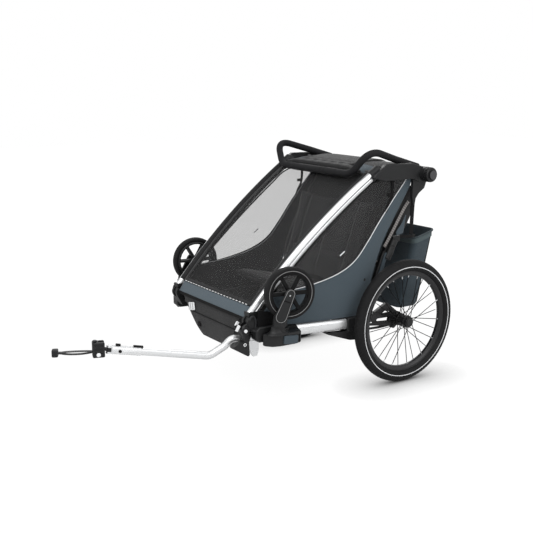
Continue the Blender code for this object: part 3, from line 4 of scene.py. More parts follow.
import bmesh
import bpy
import numpy as np
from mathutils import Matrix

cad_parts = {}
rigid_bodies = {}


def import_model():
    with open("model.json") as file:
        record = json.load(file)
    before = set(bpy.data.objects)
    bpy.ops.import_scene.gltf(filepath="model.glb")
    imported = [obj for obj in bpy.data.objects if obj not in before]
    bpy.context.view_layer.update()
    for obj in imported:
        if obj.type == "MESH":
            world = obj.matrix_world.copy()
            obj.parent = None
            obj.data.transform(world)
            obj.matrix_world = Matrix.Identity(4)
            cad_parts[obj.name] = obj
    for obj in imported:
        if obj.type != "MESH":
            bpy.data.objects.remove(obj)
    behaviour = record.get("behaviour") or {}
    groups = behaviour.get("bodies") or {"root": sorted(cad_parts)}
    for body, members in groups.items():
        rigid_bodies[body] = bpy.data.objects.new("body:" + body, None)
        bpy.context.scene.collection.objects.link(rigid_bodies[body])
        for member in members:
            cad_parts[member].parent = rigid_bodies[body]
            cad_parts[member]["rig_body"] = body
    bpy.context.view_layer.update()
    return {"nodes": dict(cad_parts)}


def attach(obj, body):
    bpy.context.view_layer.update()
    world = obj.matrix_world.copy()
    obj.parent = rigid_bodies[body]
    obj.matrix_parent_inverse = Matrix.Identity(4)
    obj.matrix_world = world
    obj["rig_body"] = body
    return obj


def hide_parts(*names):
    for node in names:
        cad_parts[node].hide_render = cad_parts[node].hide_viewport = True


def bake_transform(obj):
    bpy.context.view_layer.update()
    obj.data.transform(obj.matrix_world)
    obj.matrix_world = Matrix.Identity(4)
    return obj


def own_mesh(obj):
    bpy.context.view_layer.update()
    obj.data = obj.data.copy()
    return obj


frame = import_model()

nodes = frame["nodes"]
print("frame loaded:", len(nodes), "nodes")

# Sizes are read from a datum on the ground under the main axle; these two carry them into the model's frame
axleShift = 0.5711
groundDrop = 0.006


# The camera comes first, so that every stage can be looked at

cameraPlace = {"place": (2.978, -1.8669, 1.254), "pitchDown": 12.33, "azimuth": 56.29, "lens": 59.78}


def addCamera(values):
    # A camera at its place, turned about the upright and then tipped down
    camera = bpy.data.cameras.new("camera")
    camera.sensor_width = 36.0
    camera.lens = values["lens"]
    holder = bpy.data.objects.new("camera", camera)
    bpy.context.scene.collection.objects.link(holder)
    holder.location = values["place"]
    holder.rotation_euler = (math.radians(90 - values["pitchDown"]), 0.0, math.radians(values["azimuth"]))
    bpy.context.scene.camera = holder


addCamera(cameraPlace)


# Small tools for surfaces

def smoothStep(value, low, high):
    # Rises from 0 to 1 between low and high as 3s squared minus 2s cubed
    share = np.clip((value - low) / (high - low), 0, 1)
    return share * share * (3 - 2 * share)


def shares(rows, columns):
    # From 0 to 1 down the rows, and from 0 to 1 across the columns
    return np.linspace(0, 1, rows)[:, None], np.linspace(0, 1, columns)[None, :]


def unit(vectors):
    # Each vector divided by its length
    return vectors / np.maximum(np.linalg.norm(vectors, axis=-1, keepdims=True), 1e-12)


def toFrame(x, y, z):
    # Datum sizes become points of the model's frame
    x, y, z = np.broadcast_arrays(np.asarray(x, float), np.asarray(y, float), np.asarray(z, float))
    return np.stack([x, y + axleShift, z + groundDrop], axis=-1)


def evenly(line, count):
    # The same line read again at equal steps of its length
    length = np.concatenate([[0], np.cumsum(np.linalg.norm(np.diff(line, axis=0), axis=1))])
    places = np.linspace(0, length[-1], count)
    return np.stack([np.interp(places, length, column) for column in line.T], axis=1)


def curveThrough(points, count):
    # Each span is the cubic of four neighbouring points (Catmull-Rom), read at equal steps of its length
    points = np.asarray(points, float)
    padded = np.vstack([2 * points[0] - points[1], points, 2 * points[-1] - points[-2]])
    place = np.linspace(0, len(points) - 1, 40 * len(points))
    span = np.minimum(place.astype(int), len(points) - 2)
    t = (place - span)[:, None]
    p0, p1, p2, p3 = (padded[span + k] for k in range(4))
    fine = 0.5 * (2 * p1 + (p2 - p0) * t + (2 * p0 - 5 * p1 + 4 * p2 - p3) * t ** 2
                  + (3 * p1 - p0 - 3 * p2 + p3) * t ** 3)
    return evenly(fine, count)


def roundedLine(points, radius, count):
    # Straight lines whose corners are arcs: between the two tangent points the place is a quadratic blend
    points = np.asarray(points, float)
    before, corner, after = points[:-2], points[1:-1], points[2:]
    back, on = unit(before - corner), unit(after - corner)
    half = np.arccos(np.clip((back * on).sum(1), -1, 1)) / 2
    reach = np.minimum(radius / np.tan(half), 0.45 * np.minimum(np.linalg.norm(before - corner, axis=1),
                                                                np.linalg.norm(after - corner, axis=1)))
    first, last = corner + back * reach[:, None], corner + on * reach[:, None]
    t = np.linspace(0, 1, 12)[None, :, None]
    middle = (corner * 0.86 + (first + last) * 0.07)[:, None]
    arcs = (1 - t) ** 2 * first[:, None] + 2 * t * (1 - t) * middle + t ** 2 * last[:, None]
    return evenly(np.vstack([points[:1], arcs.reshape(-1, 3), points[-1:]]), count)


def carry(path, section, reference, scale=None):
    # A section of (side, up) points stands square to the path at each of its points
    tangent = unit(np.gradient(path, axis=0))
    reference = np.broadcast_to(np.asarray(reference, float), path.shape)
    side = unit(reference - tangent * (tangent * reference).sum(1, keepdims=True))
    up = np.cross(side, tangent)
    size = np.ones(len(path)) if scale is None else np.asarray(scale, float)
    section = section[None] * size.reshape(-1, 1, 1)
    return path[:, None] + side[:, None] * section[..., :1] + up[:, None] * section[..., 1:]


def signedPower(value, exponent):
    # A power of the size that keeps the sign
    return np.sign(value) * np.abs(value) ** exponent


def circle(radius, sides, squash=1.0):
    # Points at equal angles round a circle, or an ellipse when squashed
    angle = np.linspace(0, 2 * np.pi, sides, endpoint=False)
    return np.stack([radius * np.cos(angle), radius * squash * np.sin(angle)], axis=1)


def roundedBox(halfA, halfB, corner, steps=5):
    # Four quarter circles joined by straight sides
    angle = np.linspace(0, np.pi / 2, steps)[None, :] + (np.pi / 2) * np.arange(4)[:, None]
    centre = np.array([(1, 1), (-1, 1), (-1, -1), (1, -1)], float) * (halfA - corner, halfB - corner)
    ring = centre[:, None] + corner * np.stack([np.cos(angle), np.sin(angle)], axis=2)
    return ring.reshape(-1, 2)


def waves(places, scale, seed, count=5):
    # A smooth unevenness from -1 to 1: the mean of a few sines in fixed directions
    pick = np.random.default_rng(seed)
    directions = unit(pick.normal(size=(count, 3))) * (2 * np.pi / scale) * pick.uniform(0.6, 1.6, (count, 1))
    phases = pick.uniform(0, 2 * np.pi, count)
    return np.sin(places @ directions.T + phases).mean(axis=-1) * 1.6


# Putting surfaces into meshes

def finishMesh(name, vertices, faces, corners=None, materials="", faceMaterial=None, sharp=40):
    # A mesh from points and faces, with its UV corners and the number of the material that each face has
    mesh = bpy.data.meshes.new(name)
    mesh.from_pydata(np.asarray(vertices).reshape(-1, 3).tolist(), [], faces)
    if corners is not None:
        layer = mesh.uv_layers.new(name="surface")
        flat = np.zeros((len(mesh.loops), 2), np.float32)
        flat[:len(corners)] = corners
        layer.data.foreach_set("uv", flat.ravel())
    for material in materials.split():
        mesh.materials.append(looks[material])
    if faceMaterial is not None:
        index = np.zeros(len(mesh.polygons), np.int32)
        index[:len(faceMaterial)] = faceMaterial
        mesh.polygons.foreach_set("material_index", index)
    mesh.update()
    mesh.shade_smooth()
    mesh.set_sharp_from_angle(angle=math.radians(sharp))
    piece = bpy.data.objects.new(name, mesh)
    bpy.context.scene.collection.objects.link(piece)
    return piece


def gridQuads(rows, columns, wrap=False, loop=False):
    # Row and column of each quad's first corner, then the numbers of its four corners
    i, j = np.arange(rows if loop else rows - 1), np.arange(columns if wrap else columns - 1)
    a, b = np.meshgrid(i, j, indexing="ij")
    c, d = (a + 1) % rows, (b + 1) % columns
    corners = [a * columns + b, a * columns + d, c * columns + d, c * columns + b]
    return a, b, np.stack(corners, -1).reshape(-1, 4)


def gridPiece(name, grid, materials, wrap=False, loop=False, caps=False, faceMaterial=None, sharp=40, flip=False):
    # Quads of a grid of points; wrap closes each row into a ring, loop joins the last row to the first
    rows, columns = grid.shape[:2]
    a, b, quads = gridQuads(rows, columns, wrap, loop)
    alongStep = np.linalg.norm(np.roll(grid, -1, 0) - grid, axis=2).mean(1)
    acrossStep = np.linalg.norm(np.roll(grid, -1, 1) - grid, axis=2).mean(0)
    along = np.concatenate([[0], np.cumsum(alongStep)])
    across = np.concatenate([[0], np.cumsum(acrossStep)])
    corners = np.stack([np.stack([across[b + q], along[a + p]], axis=-1)
                        for p, q in ((0, 0), (0, 1), (1, 1), (1, 0))], axis=2).reshape(-1, 4, 2)
    if flip:
        quads, corners = quads[:, ::-1], corners[:, ::-1]
    faces = quads.tolist()
    if caps:
        first, last = list(range(columns)), list(range((rows - 1) * columns, rows * columns))
        faces += [first, last[::-1]] if flip else [first[::-1], last]
    return finishMesh(name, grid, faces, corners.reshape(-1, 2), materials, faceMaterial, sharp)


def outwards(piece):
    # Turns the faces of a closed piece to point out
    work = bmesh.new()
    work.from_mesh(piece.data)
    bmesh.ops.recalc_face_normals(work, faces=work.faces)
    work.to_mesh(piece.data)
    work.free()
    return piece


def solid(name, grid, materials, loop=False, **more):
    # A closed piece whose rows are rings: its ends are capped, or joined to each other with loop
    return outwards(gridPiece(name, grid, materials, wrap=True, loop=loop, caps=not loop, **more))


def eachSide(grid):
    # The grid for the left side, and its mirror image for the right
    return ("left", grid), ("right", grid * (-1.0, 1.0, 1.0))


def verticesOf(piece):
    # The places of a piece's vertices, one row each
    flat = np.zeros(len(piece.data.vertices) * 3)
    piece.data.vertices.foreach_get("co", flat)
    return flat.reshape(-1, 3)


def setVertices(piece, places):
    # Puts a piece's vertices at the places given
    piece.data.vertices.foreach_set("co", np.asarray(places, np.float32).ravel())
    piece.data.update()


def thicken(piece, thickness, offset):
    # A wall as thick as given: behind the surface at -1, on both sides of it at 0, before it at 1
    wall = piece.modifiers.new("wall", "SOLIDIFY")
    wall.thickness = thickness
    wall.offset = offset
    wall.use_even_offset = False
    return piece


def axesOf(axis, reference):
    # Three unit vectors: the axis, and two square to it, the first of them nearest to the reference
    axis, reference = unit(np.asarray(axis, float)), np.asarray(reference, float)
    side = unit(reference - axis * (axis @ reference))
    return axis, side, np.cross(axis, side)


def lathe(name, profile, centre, material, axis=(1, 0, 0), steps=28, squash=1.0, reference=(0.3, 0.5, 0.8)):
    # A profile of (distance along the axis, radius) turned about it, or drawn into an oval when squashed
    axis, side, up = axesOf(axis, reference)
    angle = np.linspace(0, 2 * np.pi, steps, endpoint=False)[:, None]
    ring = side * np.cos(angle) + up * np.sin(angle) * squash
    profile = np.asarray(profile, float)
    return solid(name, toFrame(*centre) + axis * profile[:, :1, None] + ring[None] * profile[:, 1:, None], material)


def ribbon(name, points, width, thickness, across, material, count=36):
    # A flat strap: a thin rounded section carried along a smooth line through the points
    line = curveThrough(points, count) if len(points) > 2 else evenly(np.asarray(points, float), count)
    section = roundedBox(width / 2, thickness / 2, thickness * 0.45, 3)
    return solid(name, carry(toFrame(*line.T), section, across), material)


def block(name, centre, half, corner, material, axis=(1, 0, 0), reference=(0, 1, 0), edge=0.0008):
    # A rounded rectangle carried along the axis and drawn in at both ends; its half sizes run axis first
    axis, side, up = axesOf(axis, reference)
    ring = roundedBox(half[1], half[2], corner, 5)
    small = roundedBox(half[1] - edge, half[2] - edge, max(corner - edge, 0.0002), 5)
    stations = ((-half[0], small), (-half[0] + edge, ring), (half[0] - edge, ring), (half[0], small))
    grid = np.stack([toFrame(*centre) + axis * d + side * r[:, :1] + up * r[:, 1:] for d, r in stations])
    return solid(name, grid, material)


def place(piece, body, slot, replaces=()):
    # A piece's body, slot (not used) and the nodes it stands for, which are hidden; a piece on "both" frames keeps
    # its place and is attached to neither
    if replaces:
        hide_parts(*replaces)
    if body == "both":
        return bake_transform(piece)
    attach(piece, body)
    return piece


# Materials

def shade(material, kind, sockets=None, **settings):
    # One shader node; a socket given by another's output is linked, and by a number is set
    node = material.node_tree.nodes.new("ShaderNode" + kind)
    for name, value in settings.items():
        setattr(node, name, value)
    for name, value in (sockets or {}).items():
        if isinstance(value, bpy.types.NodeSocket):
            material.node_tree.links.new(value, node.inputs[name])
        else:
            node.inputs[name].default_value = value
    return node


def mathOf(material, operation, first, second=0.0):
    # One step of arithmetic on two values
    return shade(material, "Math", {0: first, 1: second}, operation=operation).outputs[0]


def startMaterial(name, **values):
    # A Principled surface; plain values go straight onto its own sockets
    material = bpy.data.materials.new(name)
    material.use_nodes = True
    surface = material.node_tree.nodes["Principled BSDF"]
    for socket, value in values.items():
        surface.inputs[socket.replace("_", " ")].default_value = value
    return material, surface


def linkTo(material, output, surface, socket):
    # Joins an output to one of the surface's sockets
    material.node_tree.links.new(output, surface.inputs[socket])


def noiseAt(material, vector, scale, detail=3.0, roughness=0.55):
    # Fractal noise read at the vector, times the scale
    return shade(material, "TexNoise", {"Vector": vector, "Scale": scale, "Detail": detail,
                                        "Roughness": roughness}).outputs["Fac"]


def mixColour(material, share, low, high):
    # The colour that lies the share of the way from low to high
    ramp = shade(material, "Mix", {0: share}, data_type="RGBA")
    ramp.inputs[6].default_value = (*low, 1.0)
    ramp.inputs[7].default_value = (*high, 1.0)
    return ramp.outputs[2]


def bumpOf(material, height, strength, distance, under=None):
    # The normal tipped by the slope of a height, on top of the normal under it
    sockets = {"Height": height, "Strength": strength, "Distance": distance}
    if under is not None:
        sockets["Normal"] = under
    return shade(material, "Bump", sockets).outputs["Normal"]


def plainWeave(material, u, v, pitch):
    # Yarns are half sines across each thread, and a checker of the same pitch says which set lies on top
    turns = [mathOf(material, "MULTIPLY", axis, math.pi / pitch) for axis in (u, v)]
    warp, weft = (mathOf(material, "ABSOLUTE", mathOf(material, "SINE", turn)) for turn in turns)
    cellU, cellV = (mathOf(material, "FLOOR", mathOf(material, "DIVIDE", axis, pitch)) for axis in (u, v))
    odd = mathOf(material, "ABSOLUTE", mathOf(material, "MODULO", mathOf(material, "ADD", cellU, cellV), 2.0))
    return shade(material, "Mix", {0: odd, 2: warp, 3: weft}).outputs[0]


def surfaceAxes(material, useUv):
    # The two directions that a weave follows: the piece's own UV in metres, or its place for a moulded pad
    coordinates = shade(material, "TexCoord")
    parts = shade(material, "SeparateXYZ", {0: coordinates.outputs["UV" if useUv else "Object"]})
    solid = coordinates.outputs["Object"]
    if useUv:
        return solid, parts.outputs[0], parts.outputs[1]
    return solid, parts.outputs[0], mathOf(material, "ADD", parts.outputs[1], parts.outputs[2])


def roughBetween(material, surface, value, low, high):
    # Roughness runs from low to high while the value goes from 0.3 to 0.7
    rough = shade(material, "MapRange", {"Value": value, "From Min": 0.3, "From Max": 0.7, "To Min": low,
                                         "To Max": high})
    linkTo(material, rough.outputs[0], surface, "Roughness")


def clothMaterial(name, dark, light, worn, fade, roughness, sheen, gloss, pitch, relief, creaseScale, crease,
                  useUv=True):
    # Woven polyester: yarn relief, melange between two close colours, faint creases and a little sheen
    material, surface = startMaterial(name, Roughness=roughness, Sheen_Weight=sheen, Sheen_Roughness=0.45,
                                      Specular_IOR_Level=gloss)
    solid, u, v = surfaceAxes(material, useUv)
    weave = plainWeave(material, u, v, pitch)
    colour = mixColour(material, noiseAt(material, solid, 900.0, 2.0), dark, light)
    share = mathOf(material, "MULTIPLY", noiseAt(material, solid, 5.0, 3.0), fade)
    faded = shade(material, "Mix", {0: share}, data_type="RGBA")
    material.node_tree.links.new(colour, faded.inputs[6])
    faded.inputs[7].default_value = (*worn, 1.0)
    linkTo(material, faded.outputs[2], surface, "Base Color")
    creases = bumpOf(material, noiseAt(material, solid, creaseScale, 2.0), crease, 0.010)
    linkTo(material, bumpOf(material, weave, 0.45, relief, creases), surface, "Normal")
    return material


def mouldedMaterial(name, colour, pale, roughness, pebble, relief, gloss=0.4, scuffs=0.70, metallic=0.0):
    # Injection moulding: fine pebble relief, slow change in gloss and faint pale scuffs
    material, surface = startMaterial(name, Metallic=metallic, Specular_IOR_Level=gloss)
    solid = shade(material, "TexCoord").outputs["Object"]
    scuff = mathOf(material, "GREATER_THAN", noiseAt(material, solid, 95.0, 6.0, 0.7), scuffs)
    scuffed = mathOf(material, "MULTIPLY", scuff, 0.35)
    linkTo(material, mixColour(material, scuffed, colour, pale), surface, "Base Color")
    roughBetween(material, surface, noiseAt(material, solid, 14.0, 4.0), roughness - 0.06, roughness + 0.08)
    pebbles = shade(material, "TexVoronoi", {"Vector": solid, "Scale": pebble}, feature="SMOOTH_F1")
    linkTo(material, bumpOf(material, pebbles.outputs["Distance"], relief, 0.0004), surface, "Normal")
    return material


def brushedMaterial(name, colour, light, metallic, roughness, grain):
    # Anodised tube: satin metal with fine lines along it, a slow change in gloss and small handling marks
    material, surface = startMaterial(name, Metallic=metallic)
    solid = shade(material, "TexCoord").outputs["Object"]
    drawn = shade(material, "Mapping", {"Vector": solid, "Scale": grain}).outputs[0]
    lines = noiseAt(material, drawn, 60.0, 4.0, 0.6)
    linkTo(material, mixColour(material, noiseAt(material, solid, 9.0, 2.0), colour, light), surface, "Base Color")
    roughBetween(material, surface, lines, roughness - 0.05, roughness + 0.07)
    linkTo(material, bumpOf(material, lines, 0.10, 0.0004), surface, "Normal")
    return material


def filmMaterial(name, colour, light, roughness, gloss, cover):
    # See-through film: most light passes straight on, the rest shows a dark surface with a soft gloss
    material, surface = startMaterial(name, Roughness=roughness, Alpha=cover, Specular_IOR_Level=gloss)
    solid = shade(material, "TexCoord").outputs["Object"]
    linkTo(material, mixColour(material, noiseAt(material, solid, 7.0, 3.0), colour, light), surface, "Base Color")
    # Long soft ripples and the fine dimples of pressed film
    squeezed = shade(material, "Mapping", {"Vector": solid, "Scale": (1.0, 1.0, 0.35)}).outputs[0]
    dimples = noiseAt(material, squeezed, 260.0)
    ripple = bumpOf(material, noiseAt(material, solid, 11.0, 2.0), 0.12, 0.008)
    linkTo(material, bumpOf(material, dimples, 0.004, 0.0003, ripple), surface, "Normal")
    return material


def webbingMaterial(name, dark, light, rib, track):
    # Flat woven strap: ribs across it, two lengthwise tracks and a soft nap
    material, surface = startMaterial(name, Roughness=0.75, Sheen_Weight=0.15)
    _, u, v = surfaceAxes(material, True)
    ribs, tracks = (mathOf(material, "SINE", mathOf(material, "MULTIPLY", axis, 2 * math.pi / pitch))
                    for axis, pitch in ((v, rib), (u, track)))
    height = mathOf(material, "ADD", *(mathOf(material, "MULTIPLY", part, 0.5) for part in (ribs, tracks)))
    share = mathOf(material, "MULTIPLY", mathOf(material, "ADD", height, 1.0), 0.5)
    linkTo(material, mixColour(material, share, dark, light), surface, "Base Color")
    linkTo(material, bumpOf(material, height, 0.5, 0.0006), surface, "Normal")
    return material


finishes = {
    # Dark and light yarn, worn colour, wear, roughness, sheen, gloss, pitch, relief, scale and depth of creases
    clothMaterial: {
        "slateCloth": ((0.040, 0.056, 0.069), (0.056, 0.075, 0.090), (0.070, 0.090, 0.104), 0.5, 0.82, 0.12, 0.25,
                       0.0011, 0.0004, 9.0, 0.25),
        "stripCloth": ((0.066, 0.088, 0.104), (0.090, 0.115, 0.134), (0.10, 0.125, 0.145), 0.4, 0.80, 0.12, 0.25,
                       0.0011, 0.0004, 9.0, 0.15),
        "bagCloth": ((0.026, 0.040, 0.050), (0.040, 0.056, 0.068), (0.052, 0.070, 0.083), 0.5, 0.78, 0.15, 0.3,
                     0.0012, 0.0004, 7.0, 0.35),
        "hemCloth": ((0.060, 0.083, 0.088), (0.082, 0.108, 0.114), (0.095, 0.120, 0.125), 0.4, 0.78, 0.12, 0.25,
                     0.0012, 0.0004, 9.0, 0.15),
        "bagEdge": ((0.030, 0.043, 0.050), (0.046, 0.060, 0.068), (0.060, 0.075, 0.083), 0.4, 0.78, 0.12, 0.25,
                    0.0012, 0.0004, 9.0, 0.15),
        "blackCloth": ((0.011, 0.011, 0.0115), (0.018, 0.018, 0.0185), (0.024, 0.024, 0.025), 0.5, 0.80, 0.10, 0.25,
                       0.0012, 0.0004, 8.0, 0.3),
        "seatCloth": ((0.013, 0.013, 0.0135), (0.017, 0.017, 0.0175), (0.026, 0.026, 0.027), 0.4, 0.9, 0.2, 0.2,
                      0.0014, 0.00012, 12.0, 0.12, False),
    },
    # Colour, lighter colour, roughness, gloss, share of the light that it stops
    filmMaterial: {
        "clearFilm": ((0.060, 0.060, 0.061), (0.075, 0.075, 0.076), 0.38, 0.15, 0.15),
        "sideFilm": ((0.045, 0.045, 0.046), (0.07, 0.07, 0.071), 0.32, 0.5, 0.18),
    },
    # Colour, lighter colour, metal, roughness, how much finer the lines are along each axis
    brushedMaterial: {
        "silverTube": ((0.66, 0.67, 0.68), (0.74, 0.745, 0.75), 0.85, 0.30, (14.0, 1.0, 1.0)),
        # The darker metal below is painted shade for the floor of the upper tubes' groove
        "dullMetal": ((0.16, 0.165, 0.17), (0.22, 0.225, 0.23), 0.6, 0.55, (14.0, 1.0, 1.0)),
    },
    # Colour, pale scuffs, roughness, pebbles in a metre, relief, gloss, where scuffs begin, metal
    mouldedMaterial: {
        "blackPlastic": ((0.0085, 0.0088, 0.0094), (0.030, 0.031, 0.032), 0.46, 1400.0, 0.20, 0.28),
        "blackCoat": ((0.010, 0.010, 0.011), (0.035, 0.035, 0.036), 0.36, 900.0, 0.10, 0.35),
        "blackRim": ((0.008, 0.008, 0.009), (0.022, 0.022, 0.023), 0.34, 2000.0, 0.05, 0.35),
        "slatePlastic": ((0.040, 0.055, 0.067), (0.075, 0.092, 0.105), 0.50, 1400.0, 0.22, 0.3),
        "gripFoam": ((0.011, 0.011, 0.012), (0.020, 0.020, 0.021), 0.72, 700.0, 0.55, 0.15),
        "tyreRubber": ((0.0085, 0.0085, 0.009), (0.018, 0.0175, 0.017), 0.70, 1600.0, 0.3, 0.15, 0.66),
        "matteBlack": ((0.0045, 0.0045, 0.0048), (0.012, 0.012, 0.012), 0.66, 1600.0, 0.12, 0.12),
        "capGrey": ((0.021, 0.021, 0.023), (0.045, 0.045, 0.048), 0.5, 700.0, 0.6, 0.25),
        "discGrey": ((0.055, 0.055, 0.058), (0.09, 0.09, 0.095), 0.5, 900.0, 0.3, 0.25),
        # The pale grey below paints edge highlights on the fork plates and the stroller wheels' faces, and is also
        # the colour of the front tag's bars
        "edgeGrey": ((0.22, 0.22, 0.22), (0.34, 0.34, 0.34), 0.45, 1600.0, 0.1, 0.3),
        "whitePlastic": ((0.78, 0.79, 0.80), (0.9, 0.9, 0.9), 0.35, 1400.0, 0.1),
        "reflectiveTrim": ((0.70, 0.71, 0.72), (0.85, 0.85, 0.86), 0.35, 2600.0, 0.5, 0.6),
        "brightSteel": ((0.62, 0.63, 0.64), (0.75, 0.75, 0.76), 0.28, 2600.0, 0.05, 0.4, 0.70, 1.0),
    },
    # Dark and light, pitch of the ribs and of the tracks in metres
    webbingMaterial: {
        "ribbedTape": ((0.010, 0.010, 0.010), (0.30, 0.28, 0.27), 0.0098, 0.5),
        "blackWebbing": ((0.008, 0.008, 0.0085), (0.020, 0.020, 0.021), 0.0016, 0.0100),
    },
}
looks = {name: build(name, *values) for build, rows in finishes.items() for name, values in rows.items()}
print("materials made")


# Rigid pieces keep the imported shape: merged, with small rounded edges and a finish of their own

rigidDress = {
    # Material, slot, rounding of the edges in metres, pieces (a star stands for the left and right one)
    "large": ("blackPlastic", "black_plastic", 0.0008, "front_knuckle* rear_bracket* wheel_bracket* tube_foot* "
              "hub_plate* strut* stroller_fork* stroller_wheel*"),
    "small": ("blackPlastic", "black_plastic", 0.0004, "coupler_neck hitch_block front_cross_tube roof_crossbar "
              "strut_cross_tube wheel_button*"),
    "coated": ("blackCoat", "black_casting", 0.0005, "rear_beam swing_arm* hitch_pin"),
    "levers": ("slatePlastic", "slate_plastic", 0.0005, "fold_lever* brake_pedal"),
    "caps": ("capGrey", "slate_plastic", 0.0005, "hub_button*"),
    "arm": ("silverTube", "silver_tube", 0.0005, "tow_arm"),
}
sharpAngle = math.radians(38)


def camel(name):
    # The parts of a name after the first begin with a capital
    first, *rest = name.split("_")
    return first + "".join(part.capitalize() for part in rest)


plateSlope = {"from": -0.090, "to": -0.168, "drop": 0.040, "low": 0.842, "high": 0.886}


def slopeEnd(places):
    # The plate's front top corner sinks: evenly along the plate, times a smooth step up it
    values = plateSlope
    y, z = places[:, 1] - axleShift, places[:, 2] - groundDrop
    share = np.clip((values["from"] - y) / (values["from"] - values["to"]), 0, 1)
    places[:, 2] -= values["drop"] * share * smoothStep(z, values["low"], values["high"])
    return places


def dressRigid(node, material, slot, edge):
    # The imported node's own surface, merged, with flat areas cleared of their inner edges and rounded corners
    source = nodes[node]
    work = bmesh.new()
    work.from_mesh(source.data)
    bmesh.ops.remove_doubles(work, verts=work.verts, dist=1e-6)
    bmesh.ops.dissolve_limit(work, angle_limit=math.radians(0.6), verts=work.verts, edges=work.edges)
    mesh = bpy.data.meshes.new(camel(node))
    work.to_mesh(mesh)
    work.free()
    mesh.materials.append(looks[material])
    mesh.shade_smooth()
    mesh.set_sharp_from_angle(angle=sharpAngle)
    piece = bpy.data.objects.new(camel(node), mesh)
    bpy.context.scene.collection.objects.link(piece)
    if node.startswith("hub_plate"):
        setVertices(piece, slopeEnd(verticesOf(piece)))
    rounding = piece.modifiers.new("edges", "BEVEL")
    rounding.width = edge
    rounding.segments = 2
    rounding.limit_method = "ANGLE"
    rounding.angle_limit = sharpAngle
    rounding.use_clamp_overlap = True
    rounding.harden_normals = True
    return place(piece, source["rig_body"], slot, [node])


for material, slot, edge, names in rigidDress.values():
    for name in names.split():
        for node in ([name[:-1] + "_left", name[:-1] + "_right"] if name.endswith("*") else [name]):
            dressRigid(node, material, slot, edge)
print("rigid pieces dressed")


# Tubes

upperTube = {"foot": (-0.706, 0.366), "head": (-0.105, 0.882), "bow": 0.028, "footX": 0.280, "headX": 0.305,
             "height": 0.040, "width": 0.026, "groove": 0.0034, "grooveHalf": 0.0024, "footTop": 0.3758,
             "from": -0.006, "to": 0.9648}


def tubeLine(t, lift=0.0):
    # A straight line from foot to head, raised square to itself by a parabola and by the lift
    t, lift = np.broadcast_arrays(np.asarray(t, float), np.asarray(lift, float))
    foot, head = np.array(upperTube["foot"]), np.array(upperTube["head"])
    chord = (head - foot) / np.linalg.norm(head - foot)
    rise = 4 * upperTube["bow"] * t * (1 - t) + lift
    x = upperTube["footX"] + (upperTube["headX"] - upperTube["footX"]) * t
    return toFrame(x, foot[0] + (head[0] - foot[0]) * t - chord[1] * rise,
                   foot[1] + (head[1] - foot[1]) * t + chord[0] * rise)


def ovalSection(height, width, steps, grow=0.0, groove=0.0, start=0.0, stop=2 * np.pi, closed=True):
    # A superellipse of power 0.85 from its top round by the outer side, with a narrow Gaussian dip for a groove
    angle = np.linspace(start, stop, steps, endpoint=not closed)
    up = (height / 2 + grow) * signedPower(np.cos(angle), 0.85)
    side = (width / 2 + grow) * signedPower(np.sin(angle), 0.85)
    side = side - groove * np.exp(-((up / 0.0022) ** 2)) * (side > 0)
    return np.stack([side, up], axis=1)


def buildUpperTube():
    # The section carried along the bowed line; the first ring is slid along it onto a level cut
    values = upperTube
    line = tubeLine(np.linspace(values["from"], values["to"], 60))
    grid = carry(line, ovalSection(values["height"], values["width"], 112, groove=values["groove"]), (1, 0, 0))
    cutZ, cutRings = values["footTop"] + groundDrop, 8
    direction = unit(grid[cutRings] - grid[0])
    below = np.maximum(0.0, cutZ - grid[..., 2]) * (np.arange(len(grid)) < cutRings)[:, None]
    grid = grid + direction[None] * (below / direction[None, :, 2])[..., None]
    keep = np.concatenate([[True], (grid[1:, :, 2].min(1) > cutZ + 1e-5)])
    return grid[keep]


def tubePair():
    # Both upper tubes; the floor of the groove along their outer side gets a darker metal, which is painted shade in
    # the groove
    grid = buildUpperTube()
    section = ovalSection(upperTube["height"], upperTube["width"], 112)
    low = (np.abs(section[:, 1]) < upperTube["grooveHalf"]) & (section[:, 0] > 0)
    grooveShadeFaces = np.tile((low & np.roll(low, -1)).astype(int), len(grid) - 1)
    for side, shape in eachSide(grid):
        piece = solid("upperTube_" + side, shape, "silverTube dullMetal", faceMaterial=grooveShadeFaces, sharp=50)
        place(piece, "upper_frame", "silver_tube", ["upper_tube_" + side])


sideRail = {"x": 0.310, "height": 0.044, "width": 0.026, "front": (-0.6679, 0.290), "rear": (-0.2151, 0.262)}


def railPair():
    # One oval carried along a straight line that falls a little to the rear
    values = sideRail
    line = toFrame(values["x"], np.linspace(values["front"][0], values["rear"][0], 12),
                   np.linspace(values["front"][1], values["rear"][1], 12))
    grid = carry(line, ovalSection(values["height"], values["width"], 48), (1, 0, 0))
    for side, shape in eachSide(grid):
        place(solid("sideRail_" + side, shape, "silverTube", sharp=50), "frame", "silver_tube", ["rail_" + side])


sleeveValues = {"grow": 0.0011, "from": 0.030, "to": 0.928, "start": math.radians(176), "stop": math.radians(352)}


def tubeSleeves():
    # Black cloth drawn round the inner half of each upper tube: part of the tube's section, a little larger
    values = sleeveValues
    line = tubeLine(np.linspace(values["from"], values["to"], 64))
    part = ovalSection(upperTube["height"], upperTube["width"], 26, values["grow"], 0.0, values["start"],
                       values["stop"], closed=False)
    grid = carry(line, part, (1, 0, 0))
    for side, shape in eachSide(grid):
        piece = gridPiece("tubeSleeve_" + side, shape, "blackCloth", flip=side == "right")
        thicken(piece, 0.0008, 1.0)
        place(piece, "upper_frame", "black_fabric")


tubePair()
railPair()
tubeSleeves()
print("tubes made")


# Handlebar: a foam-sleeved tube between two drums

handlebar = {"hub": (0.105, 0.845), "x": 0.290, "straight": (-0.020, 0.9075), "topX": 0.320, "top": (-0.178, 0.955),
             "crossX": 0.238, "cross": (-0.208, 0.855), "bend": 0.065, "radius": 0.0143, "sleeve": 0.0012,
             "plateX": 0.3085}


